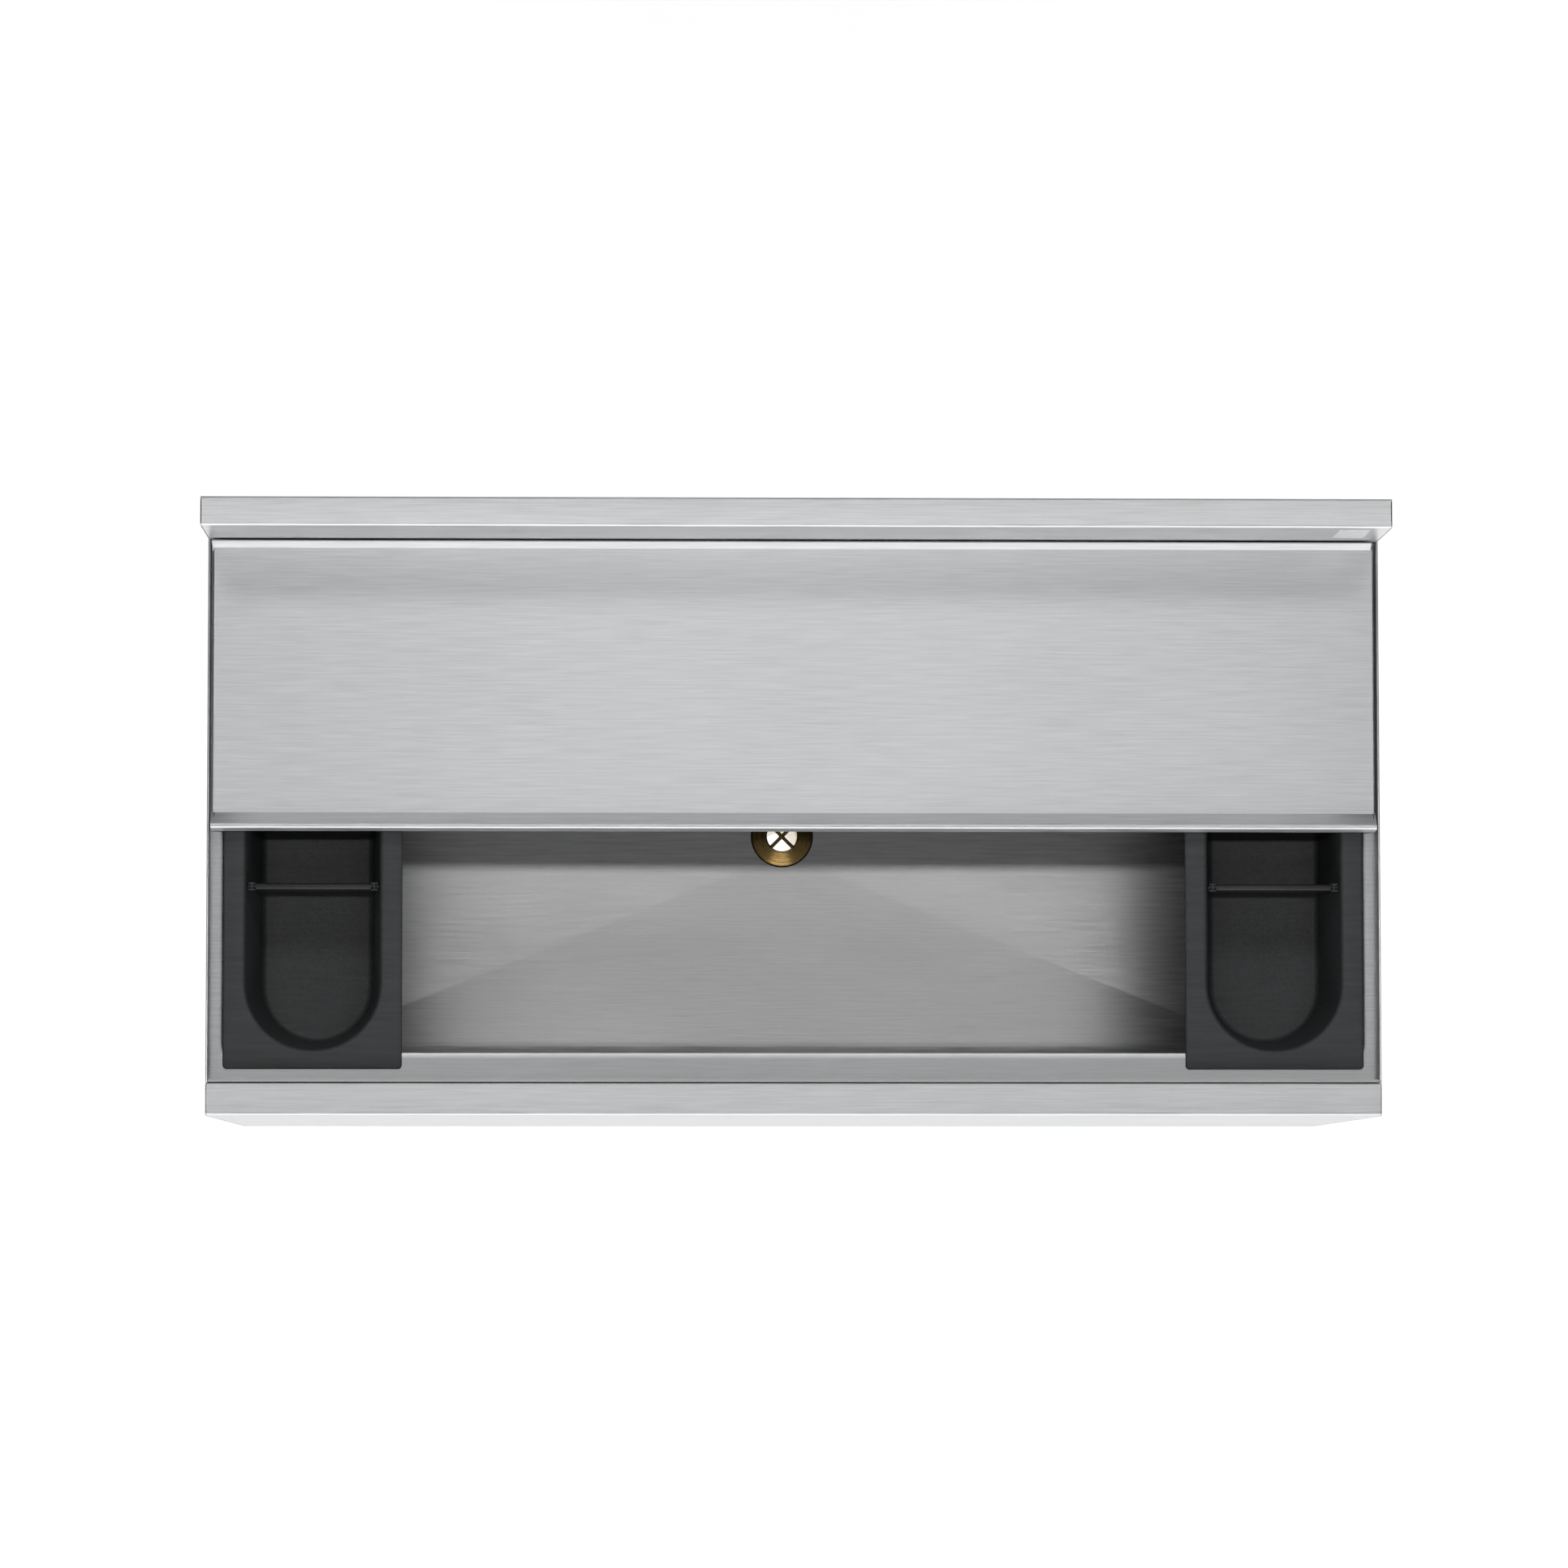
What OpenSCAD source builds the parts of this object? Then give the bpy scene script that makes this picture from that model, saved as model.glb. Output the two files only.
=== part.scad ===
// Underbar ice bin. A free-standing stainless bin with a backsplash, two sliding covers,
// a moulded bottle well hung at each end, a pitched ice liner with a drain, foam insulation
// and four legs with adjustable feet. Millimetres, +X to the right, +Y to the back, +Z up.
// The origin is on the floor, under the middle of the body.

/* [Body] */
// Width over the side panels
body_w = 914.4; // [860:0.1:1220]
// Depth from the apron's face to the back of the backsplash
body_d = 472.6; // [460:0.1:560]
// Height of the working rim above the floor
rim_h = 762; // [700:1:900]
// Height of the apron and the side panels
apron_h = 400; // [390:1:460]
// Thickness of the liner, deck, apron, splash and cover sheet
sheet_t = 1.2; // [0.9:0.1:1.5]
// Thickness of the side, back and bottom sheet
panel_t = 1; // [0.8:0.1:1.2]
// Depth of the folded front rim, front to back
front_rim_d = 25.5; // [20:0.5:35]
// Drop from the rim to the ledge that carries covers and wells
ledge_drop = 12; // [12:0.5:16]

/* [Backsplash] */
// Height of the backsplash above the rim
splash_h = 76.2; // [40:0.1:150]
// Thickness of the backsplash, front to back
splash_t = 22.9; // [15:0.1:40]

/* [Ice liner] */
// Width of the liner's mouth
liner_w = 890; // [840:1:892]
// Front inner wall of the liner, from the middle of the body
liner_front_y = -187; // [-187:1:-180]
// Rear inner wall of the liner, from the middle of the body
liner_rear_y = 200.6; // [195:0.1:200.6]
// Depth from the rim to the outer edge of the floor
liner_depth = 318; // [290:1:320]
// Fall of the floor from its edge to the drain
floor_fall = 10; // [8:1:24]
// Radius of the coves where walls meet the floor
cove_r = 22; // [12:1:25]

/* [Sliding covers] */
// Gap between a side rim and the upper cover
cover_gap = 1.5; // [1:0.1:2]
// Height of the upper cover's finger pull
pull_h = 10; // [6:0.5:12]
// Run of the finger pull, front to back
pull_run = 12.2; // [10:0.1:16]

/* [Bottle wells] */
// Width of a well's flange
well_flange_w = 139.2; // [130:0.1:139.2]
// Half width of a well between its walls, at the flange
well_half_w = 52.6; // [48:0.1:52.6]
// Half width of a well between its walls, at the floor
well_half_floor = 43.4; // [42:0.1:47.8]
// Depth of a well below the rim
well_depth = 78; // [60:1:80]
// Thickness of a well's wall and flange
well_t = 2; // [1.6:0.1:2]

/* [Drain] */
// Radius of the drain's bore
drain_bore_r = 12.7; // [10:0.1:12.7]
// Radius of the drain's flange
drain_flange_r = 25.5; // [24:0.1:28]
// Outer radius of the drain's outlet, a one inch pipe
outlet_r = 16.7; // [15:0.1:16.7]

/* [Legs] */
// Outer radius of a leg tube
leg_r = 20.65; // [19:0.05:20.65]
// Distance from the middle to a leg, across
leg_x = 395; // [340:1:395]
// Distance from the middle to a leg, front to back
leg_y = 165; // [140:1:165]
// Radius of a foot's threaded stem, drawn plain
stem_r = 8; // [6:0.5:9]
// Downward travel of a foot
foot_travel = 25; // [15:1:30]

/* [Hidden] */
$fn = 64;

steel = "lightsteelblue";
half_w = body_w / 2;
front_y = -body_d / 2;
back_y = body_d / 2;
seam_y = front_y + front_rim_d;
splash_y = back_y - splash_t;
body_base = rim_h - apron_h;
ledge_z = rim_h - ledge_drop;
hem = 15;

// Ledge, rims and mouth of the bin
rim_x = half_w - 2 * panel_t;
panel_in_x = half_w - panel_t;
inner_x = half_w - sheet_t - 0.1;
upstand_y = seam_y + 0.8;
lip_r = 3;
lip_drop = 12;
half_mouth = liner_w / 2;
liner_top = ledge_z - lip_drop;
floor_edge_z = rim_h - liner_depth;
floor_low_z = floor_edge_z - floor_fall;
drain_y = (liner_front_y + liner_rear_y) / 2;
sump_half = 26;
pan_z = body_base + sheet_t;
back_in_y = back_y - sheet_t - panel_t;

// Covers
upper_half_w = rim_x - cover_gap;
crease_y = -0.5;
skirt_drop = 3.8;
skirt_y = crease_y - pull_run - 2;
rear_crease_y = splash_y - 6.8;
rear_flange_run = 4.2;
rear_flange_h = 6;
glide_t = 1.2;
run_gap = 0.1;
upper_skirt_in = upper_half_w - sheet_t;
lower_half_w = upper_skirt_in - glide_t - 0.4;
lower_z = ledge_z + 2.8;
lower_lip_h = 4.2;
lower_front_y = skirt_y + 5.2;
cover_back_y = splash_y - 2.4;

// Bottle wells
well_x = half_mouth - 0.3 - well_flange_w / 2;
well_front_y = seam_y + 11.1;
well_rear_y = splash_y - 0.5;
well_floor_z = rim_h - well_depth;
well_top_z = ledge_z + well_t;
well_end_front = liner_front_y + 54.7;
well_end_rear = liner_rear_y - 55.1;
well_opening_y = (well_end_rear - well_end_front + 2 * well_half_w) / 3;
divider_clear = 0.5;
divider_t = 1.5;
divider_rod_r = 2.5;

// Drain, from the liner's floor down
neck_r = 19;
neck_end_z = floor_low_z - 32;
outlet_low_z = body_base - 62;
outlet_len = 45;
tail_r = 15.5;
gasket_t = 3;
washer_t = 1.5;
locknut_h = 10;
seat_r = 27;

// Legs and feet
socket_low_z = body_base - 44;
leg_wall = 1.2;
leg_low_z = 55;
insert_flange_t = 3;
foot_top_z = leg_low_z - insert_flange_t - 0.3;
stem_clear = 0.05;
insert_top_z = leg_low_z + 30;
stem_top_z = insert_top_z + foot_travel;
screw_r = 3;
screw_z = socket_low_z + 8;
channel_w = 60;
channel_h = 14;

// A direction of length 1 from a to b
function unit(a, b) = (b - a) / norm(b - a);
// The direction d turned a quarter turn to the left
function left_of(d) = [-d[1], d[0]];
// An angle brought between -180 and 180
function turned(a) = a > 180 ? a - 360 : a < -180 ? a + 360 : a;
// An entry of a list of radii, or the one radius given for all
function pick(r, i) = is_list(r) ? r[i] : r;

// Points of the arc of radius r that rounds corner b of the line a, b, c
function corner_arc(a, b, c, r, n) =
    let (u = unit(b, a), v = unit(b, c), half = acos(u * v) / 2,
        mid = b + unit([0, 0], u + v) * r / sin(half),
        p = b + u * r / tan(half) - mid, q = b + v * r / tan(half) - mid,
        from = atan2(p[1], p[0]), sweep = turned(atan2(q[1], q[0]) - from))
    [for (i = [0:n]) mid + r * [cos(from + sweep * i / n), sin(from + sweep * i / n)]];

// An open line with each inner corner rounded; r is one radius, or a list of them
function bend_line(p, r, n = 6) = [for (i = [0:len(p) - 1])
    if (i == 0 || i == len(p) - 1) p[i]
    else each corner_arc(p[i - 1], p[i], p[i + 1], pick(r, i - 1), n)];

// An open line moved by t to its left, with mitred corners
function shifted(p, t) = [for (i = [0:len(p) - 1])
    let (last = len(p) - 1,
        n0 = left_of(unit(p[max(i - 1, 0)], p[max(i, 1)])),
        n1 = left_of(unit(p[min(i, last - 1)], p[min(i + 1, last)])))
    p[i] + t * (n0 + n1) / (1 + n0 * n1)];

function reversed(p) = [for (i = [len(p) - 1:-1:0]) p[i]];

// The section of a sheet that follows a line; a positive t lies to the line's left
module folded(p, r, t) {
    line = bend_line(p, r);
    polygon(concat(line, reversed(shifted(line, t))));
}

// Carries a section drawn as [y, z] along X
module along_x(x0, x1) {
    translate([x0, 0, 0]) rotate([90, 0, 90]) linear_extrude(x1 - x0) children();
}

// Carries a section drawn as [x, z] along Y
module along_y(y0, y1) {
    translate([0, y1, 0]) rotate([90, 0, 0]) linear_extrude(y1 - y0) children();
}

// A block between two corners
module block(low, high) {
    translate(low) cube(high - low);
}

// The children and their mirror image across the middle of the body
module both_sides() {
    children();
    mirror([1, 0, 0]) children();
}

// The children on the left (side -1) or on the right (side 1); they are drawn on the right
module on_side(side) {
    mirror([side < 0 ? 1 : 0, 0, 0]) children();
}

// The space shared by a section across the body and a section front to back
module crossed(across, fore_and_aft) {
    intersection() {
        along_y(front_y, back_y) polygon(across);
        along_x(-half_w, half_w) polygon(fore_and_aft);
    }
}

// Body shell

apron_line = [[seam_y, rim_h - 13], [seam_y, rim_h], [front_y, rim_h], [front_y, body_base],
    [front_y + hem, body_base]];

module apron_end() {
    end_line = [[seam_y, body_base], [seam_y, rim_h], [front_y, rim_h], [front_y, body_base]];
    along_x(half_w - sheet_t, half_w) polygon(bend_line(end_line, [1.5, 3]));
}

module front_apron() {
    color(steel) {
        along_x(-half_w, half_w) folded(apron_line, [1.5, 3, 1.5], sheet_t);
        both_sides() apron_end();
    }
}

// The side panel's top edge is hemmed to twice its thickness
module side_panel(side) {
    on_side(side) color(steel) {
        along_y(seam_y + 0.4, splash_y - 0.2) {
            translate([panel_in_x, body_base]) square([panel_t, apron_h - panel_t]);
            translate([rim_x, ledge_z]) square([panel_t, ledge_drop - panel_t]);
            translate([panel_in_x, rim_h - panel_t]) circle(panel_t);
            translate([half_w - hem, body_base]) square([hem, panel_t]);
        }
        block([panel_in_x, splash_y - 0.2, body_base],
            [half_w, back_y - sheet_t, ledge_z - 0.2]);
    }
}

module back_panel() {
    color(steel) block([-inner_x, back_in_y, body_base],
        [inner_x, back_y - sheet_t, rim_h + splash_h / 2]);
}

module bottom_pan() {
    color(steel) difference() {
        block([-inner_x, front_y + sheet_t + 0.4, pan_z],
            [inner_x, back_in_y, pan_z + sheet_t]);
        translate([0, drain_y, pan_z - 1]) cylinder(h = sheet_t + 2, r = outlet_r + 4);
    }
}

// Half a mouth section: the wall, the rounded lip and the open space above the ledge
function mouth_side(wall, out) = [[wall, liner_top - 1], [wall, ledge_z - lip_r],
    for (a = [0:15:90]) [wall + out * lip_r * (1 - cos(a)), ledge_z - lip_r + lip_r * sin(a)],
    [wall + out * lip_r, ledge_z + 1]];

mouth_across = concat(mouth_side(half_mouth, 1), reversed(mouth_side(-half_mouth, -1)));
mouth_fore_aft = concat(mouth_side(liner_rear_y, 1), reversed(mouth_side(liner_front_y, -1)));

module top_deck() {
    lip_x = half_mouth + sheet_t;
    color(steel) difference() {
        union() {
            block([-panel_in_x, upstand_y, ledge_z - sheet_t], [panel_in_x, back_in_y, ledge_z]);
            block([-rim_x, upstand_y, ledge_z], [rim_x, upstand_y + sheet_t, rim_h - 0.5]);
            block([-lip_x, liner_front_y - sheet_t, liner_top],
                [lip_x, liner_rear_y + sheet_t, ledge_z - sheet_t]);
        }
        crossed(mouth_across, mouth_fore_aft);
    }
}

splash_line = [[splash_y, ledge_z], [splash_y, rim_h + splash_h], [back_y, rim_h + splash_h],
    [back_y, ledge_z - 10]];

module backsplash() {
    end_line = concat([for (i = [0:2]) splash_line[i]], [[back_y, ledge_z]]);
    color(steel) {
        along_x(-half_w, half_w) folded(splash_line, [2.5, 2.5], -sheet_t);
        both_sides() along_x(half_w - sheet_t, half_w) polygon(bend_line(end_line, [2.5, 2.5]));
    }
}

module blank_label() {
    color("white") block([418, splash_y - 0.2, rim_h + 22], [442, splash_y, rim_h + 66]);
}

// Ice liner

// A wall, a cove, a floor that falls to the sump, and the same on the other side
function basin_line(low, high, middle) = bend_line([[low, liner_top], [low, floor_edge_z],
    [middle - sump_half, floor_low_z], [middle + sump_half, floor_low_z],
    [high, floor_edge_z], [high, liner_top]], [cove_r, 2, 2, cove_r]);

basin_across = basin_line(-half_mouth, half_mouth, 0);
basin_fore_aft = basin_line(liner_front_y, liner_rear_y, drain_y);

// The line of a basin carried up past its top, so that it opens the top cleanly
function opened(p) = concat([p[0] + [0, 2]], p, [p[len(p) - 1] + [0, 2]]);

module liner_outside() {
    crossed(shifted(basin_across, -sheet_t), shifted(basin_fore_aft, -sheet_t));
}

module ice_liner() {
    color("silver") difference() {
        liner_outside();
        crossed(opened(basin_across), opened(basin_fore_aft));
        translate([0, drain_y, floor_low_z - 5]) cylinder(h = 10, r = neck_r);
    }
}

// Insulation

foam_x = half_mouth + sheet_t;
foam_low_z = pan_z + sheet_t;
foam_top_z = ledge_z - sheet_t;

module foam_board(low, high) {
    color("khaki") block(low, high);
}

module foam_front() {
    foam_board([-foam_x, front_y + sheet_t, foam_low_z],
        [foam_x, liner_front_y - sheet_t, foam_top_z]);
}

module foam_rear() {
    foam_board([-foam_x, liner_rear_y + sheet_t, foam_low_z], [foam_x, back_in_y, foam_top_z]);
}

module foam_side(side) {
    on_side(side) foam_board([foam_x, front_y + sheet_t, foam_low_z],
        [panel_in_x - 0.2, back_in_y, foam_top_z]);
}

module foam_bottom() {
    color("khaki") difference() {
        block([-foam_x, liner_front_y - sheet_t, foam_low_z],
            [foam_x, liner_rear_y + sheet_t, floor_edge_z + cove_r / 2]);
        liner_outside();
        translate([0, drain_y, body_base]) cylinder(h = apron_h, r = seat_r + 8);
        both_sides() block([leg_x - channel_w / 2, front_y, body_base],
            [leg_x + channel_w / 2, back_y, foam_low_z + channel_h]);
    }
}

// A channel, open downwards, stiffens the bottom pan over each pair of legs
module leg_channel(side) {
    x0 = leg_x - channel_w / 2;
    x1 = leg_x + channel_w / 2;
    line = [[x0, foam_low_z], [x0, foam_low_z + channel_h], [x1, foam_low_z + channel_h],
        [x1, foam_low_z]];
    on_side(side) color(steel) along_y(liner_front_y, liner_rear_y)
        folded(line, 2, -1.5);
}

// Sliding covers

upper_line = [[skirt_y, rim_h - skirt_drop], [crease_y - pull_run, rim_h + pull_h],
    [crease_y, rim_h], [rear_crease_y, rim_h],
    [rear_crease_y + rear_flange_run, rim_h + rear_flange_h]];

module upper_cover() {
    color(steel) {
        along_x(-upper_half_w, upper_half_w) folded(upper_line, [1.6, 2, 2], -sheet_t);
        both_sides() block([upper_skirt_in, crease_y, ledge_z + 1],
            [upper_half_w, rear_crease_y, rim_h - 0.6]);
    }
}

module upper_cover_glides() {
    color("white") both_sides() block([upper_skirt_in - glide_t, crease_y + 2, ledge_z + run_gap],
        [upper_skirt_in, rear_crease_y - 2, rim_h - sheet_t]);
}

lower_line = [[lower_front_y, lower_z + lower_lip_h], [lower_front_y, lower_z],
    [cover_back_y, lower_z], [cover_back_y, lower_z + lower_lip_h]];

module lower_cover() {
    color(steel) along_x(-lower_half_w, lower_half_w) folded(lower_line, 1.3, sheet_t);
}

module lower_cover_glides() {
    color("white") both_sides() block([half_mouth + 1, lower_front_y + 2, ledge_z + run_gap],
        [lower_half_w - 0.4, cover_back_y - 2, lower_z]);
}

// Bottle wells

// Half a well's inner section, from the middle of its floor out over the flange
well_line = bend_line([[0, well_floor_z], [well_half_floor, well_floor_z],
    [well_half_w, well_top_z], [well_half_w + 6, well_top_z]], [5, 3]);

// A form with straight sides and round ends: the half section turned at both ends
module well_form(line, top) {
    closed = concat(line, [[line[len(line) - 1][0], top], [0, top]]);
    for (y = [well_end_front, well_end_rear]) translate([0, y, 0]) rotate_extrude() polygon(closed);
    along_y(well_end_front, well_end_rear) {
        polygon(closed);
        mirror([1, 0]) polygon(closed);
    }
}

// The last points of the section lie on the flange, which the outer form leaves to its plate
well_wall_line = [for (p = well_line) if (p[0] <= well_half_w) p];

module bottle_well(side) {
    half = well_flange_w / 2;
    on_side(side) translate([well_x, 0, 0]) color("dimgray") difference() {
        union() {
            well_form(shifted(well_wall_line, -well_t), well_top_z);
            block([-half, well_front_y, ledge_z], [half, well_rear_y, well_top_z]);
        }
        well_form(well_line, well_top_z + 1);
    }
}

// Half width of a well between its walls, at height z
function well_half_at(z) = well_half_floor + (well_half_w - well_half_floor)
    * (z - well_floor_z) / (well_top_z - well_floor_z);

// A full-depth plate with a rolled top edge and a clip at each end; third is 1 or 2
module divider(side, third) {
    y = well_end_front - well_half_w + third * well_opening_y;
    low = well_floor_z + divider_clear;
    knee = low + 8;
    top = well_top_z - 5;
    rod_half = well_half_at(top) - divider_clear - 0.5;
    plate = [[well_half_floor - 9, low], [well_half_at(knee) - divider_clear, knee],
        [well_half_at(top) - divider_clear, top]];
    on_side(side) translate([well_x, 0, 0]) color("black") {
        along_y(y - divider_t / 2, y + divider_t / 2)
            polygon(concat(plate, [for (p = reversed(plate)) [-p[0], p[1]]]));
        translate([-rod_half, y, top]) rotate([0, 90, 0])
            cylinder(h = 2 * rod_half, r = divider_rod_r);
        for (s = [-1, 1]) translate([s * (rod_half - 2.5), y, top])
            cube([5, 6, 6.6], center = true);
    }
}

// Drain

module ring(z0, z1, outer, inner, sides = 64) {
    translate([0, drain_y, z0]) difference() {
        cylinder(h = z1 - z0, r = outer, $fn = sides);
        translate([0, 0, -1]) cylinder(h = z1 - z0 + 2, r = inner);
    }
}

flange_line = [[drain_bore_r, floor_low_z], [drain_flange_r, floor_low_z],
    [drain_flange_r, floor_low_z + 0.8], [drain_flange_r - 2.5, floor_low_z + 2.2],
    [drain_bore_r + 2, floor_low_z + 2.2], [drain_bore_r, floor_low_z + 1]];

module drain_flange() {
    color("goldenrod") {
        translate([0, drain_y, 0]) rotate_extrude() polygon(flange_line);
        ring(neck_end_z, floor_low_z, neck_r, drain_bore_r);
    }
}

// Two crossed bars in the throat of the drain
module drain_strainer() {
    color("gold") intersection() {
        for (a = [45, 135]) translate([0, drain_y, floor_low_z - 1.5]) rotate([0, 0, a])
            cube([3 * drain_bore_r, 3, 3], center = true);
        translate([0, drain_y, floor_low_z - 10]) cylinder(h = 20, r = drain_bore_r);
    }
}

gasket_top_z = floor_low_z - sheet_t;
washer_top_z = gasket_top_z - gasket_t;
locknut_top_z = washer_top_z - washer_t;

module drain_gasket() {
    color("black") ring(washer_top_z, gasket_top_z, seat_r, neck_r);
}

module drain_washer() {
    color("silver") ring(locknut_top_z, washer_top_z, seat_r, neck_r);
}

module drain_locknut() {
    color("goldenrod") ring(locknut_top_z - locknut_h, locknut_top_z, seat_r + 1, neck_r, 6);
}

module drain_coupling() {
    color("goldenrod") {
        ring(neck_end_z, neck_end_z + 10, neck_r + 4.5, neck_r, 6);
        ring(neck_end_z - 10, neck_end_z, neck_r + 4.5, tail_r, 6);
    }
}

module drain_tailpiece() {
    color("goldenrod") {
        ring(outlet_low_z, outlet_low_z + outlet_len, outlet_r, drain_bore_r);
        ring(outlet_low_z + outlet_len, neck_end_z, tail_r, drain_bore_r);
    }
}

// Legs

// Places the children under one corner of the body
module at_leg(side, end) {
    translate([side * leg_x, end * leg_y, 0]) children();
}

module leg(side, end) {
    at_leg(side, end) color("silver") translate([0, 0, leg_low_z]) difference() {
        cylinder(h = pan_z - leg_low_z - 3, r = leg_r);
        translate([0, 0, -1]) cylinder(h = pan_z, r = leg_r - leg_wall);
    }
}

socket_line = [[leg_r, socket_low_z], [leg_r + 3.2, socket_low_z],
    [leg_r + 3.2, socket_low_z + 16], [leg_r + 12, pan_z - 3], [leg_r + 24, pan_z - 3],
    [leg_r + 24, pan_z], [0, pan_z], [0, pan_z - 3], [leg_r, pan_z - 3]];

module leg_socket(side, end) {
    at_leg(side, end) color(steel) difference() {
        rotate_extrude() polygon(socket_line);
        translate([0, -end * leg_r, screw_z]) rotate([end * 90, 0, 0])
            cylinder(h = 10, r = screw_r);
    }
}

// A plastic plug in the leg's lower end, bored for the foot's stem
module leg_insert(side, end) {
    at_leg(side, end) color("gray") difference() {
        union() {
            translate([0, 0, leg_low_z - insert_flange_t]) cylinder(h = insert_flange_t, r = leg_r);
            translate([0, 0, leg_low_z])
                cylinder(h = insert_top_z - leg_low_z, r = leg_r - leg_wall);
        }
        translate([0, 0, leg_low_z - 10])
            cylinder(h = insert_top_z, r = stem_r + stem_clear);
    }
}

foot_line = concat([[0, 0]], bend_line([[0, 0], [13, 0], [leg_r - 2, 24], [leg_r - 2, 40],
    [leg_r - 1, 42], [leg_r - 1, foot_top_z], [stem_r, foot_top_z]], [2, 8, 0.5, 0.5, 1]),
    [[stem_r, stem_top_z - 1], [stem_r - 1, stem_top_z], [0, stem_top_z]]);

module foot(side, end) {
    at_leg(side, end) color("dimgray") rotate_extrude() polygon(foot_line);
}

module set_screw(side, end) {
    at_leg(side, end) translate([0, -end * leg_r, screw_z]) rotate([end * 90, 0, 0])
        difference() {
            cylinder(h = 5, r = screw_r);
            translate([0, 0, 3]) cylinder(h = 5, r = 1.7, $fn = 6);
        }
}

module socket_set_screws() {
    color("silver") for (side = [-1, 1], end = [-1, 1]) set_screw(side, end);
}

front_apron();
side_panel(-1);  // left_side_panel
side_panel(1);  // right_side_panel
back_panel();
bottom_pan();
top_deck();
backsplash();
blank_label();
ice_liner();
foam_front();
foam_rear();
foam_side(-1);  // foam_left
foam_side(1);  // foam_right
foam_bottom();
leg_channel(-1);  // left_leg_channel
leg_channel(1);  // right_leg_channel
upper_cover();
upper_cover_glides();
lower_cover();
lower_cover_glides();
bottle_well(-1);  // left_bottle_well
bottle_well(1);  // right_bottle_well
divider(-1, 1);  // left_front_divider
divider(-1, 2);  // left_rear_divider
divider(1, 1);  // right_front_divider
divider(1, 2);  // right_rear_divider
drain_flange();
drain_strainer();
drain_gasket();
drain_washer();
drain_locknut();
drain_coupling();
drain_tailpiece();
leg(-1, -1);  // leg_front_left
leg(1, -1);  // leg_front_right
leg(-1, 1);  // leg_rear_left
leg(1, 1);  // leg_rear_right
leg_socket(-1, -1);  // socket_front_left
leg_socket(1, -1);  // socket_front_right
leg_socket(-1, 1);  // socket_rear_left
leg_socket(1, 1);  // socket_rear_right
leg_insert(-1, -1);  // insert_front_left
leg_insert(1, -1);  // insert_front_right
leg_insert(-1, 1);  // insert_rear_left
leg_insert(1, 1);  // insert_rear_right
foot(-1, -1);  // foot_front_left
foot(1, -1);  // foot_front_right
foot(-1, 1);  // foot_rear_left
foot(1, 1);  // foot_rear_right
socket_set_screws();
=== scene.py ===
"""Looks of a stainless underbar ice bin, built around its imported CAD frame.

Lengths in the classes are millimetres in the frame of the part: +X to the right, +Y to the
backsplash, +Z up, with the origin on the floor. They become metres when a mesh is made.
"""
import logging
import math
from dataclasses import dataclass, field
from enum import Enum
from typing import Iterable, Mapping, Sequence, Union

import bmesh
import bpy
import numpy as np
from mathutils import Matrix, Vector


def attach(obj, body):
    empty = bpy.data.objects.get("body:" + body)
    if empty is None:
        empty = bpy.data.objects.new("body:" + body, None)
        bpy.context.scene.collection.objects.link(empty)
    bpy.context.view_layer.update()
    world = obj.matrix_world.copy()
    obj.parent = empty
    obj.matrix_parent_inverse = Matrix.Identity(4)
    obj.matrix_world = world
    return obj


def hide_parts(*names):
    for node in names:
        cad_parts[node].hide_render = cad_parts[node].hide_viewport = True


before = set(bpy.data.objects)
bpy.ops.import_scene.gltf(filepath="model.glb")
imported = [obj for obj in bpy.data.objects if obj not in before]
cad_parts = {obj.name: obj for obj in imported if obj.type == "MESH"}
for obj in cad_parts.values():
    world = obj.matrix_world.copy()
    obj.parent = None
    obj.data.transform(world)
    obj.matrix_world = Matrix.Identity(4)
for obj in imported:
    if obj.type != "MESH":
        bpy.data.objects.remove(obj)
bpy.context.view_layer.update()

LOG = logging.getLogger("ice_bin")
MM = 0.001
Number = Union[float, np.ndarray]


class Axis(Enum):
    """The direction in which a sheet is carried or its grain runs."""

    X = 0
    Y = 1
    Z = 2


class Side(Enum):
    """The two mirrored halves of the bin."""

    LEFT = -1
    RIGHT = 1


class Slot(Enum):
    """The record's material slots that the new pieces take their finish from."""

    OUTER = "outer_steel"
    LINER = "liner_steel"
    COVER = "cover_steel"
    LEG = "leg_steel"
    WELL = "well_plastic"
    DIVIDER = "divider_plastic"
    BRASS = "drain_brass"
    RUBBER = "gasket_rubber"
    FOOT = "foot_plastic"


# ---------------------------------------------------------------- curves and rings


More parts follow.
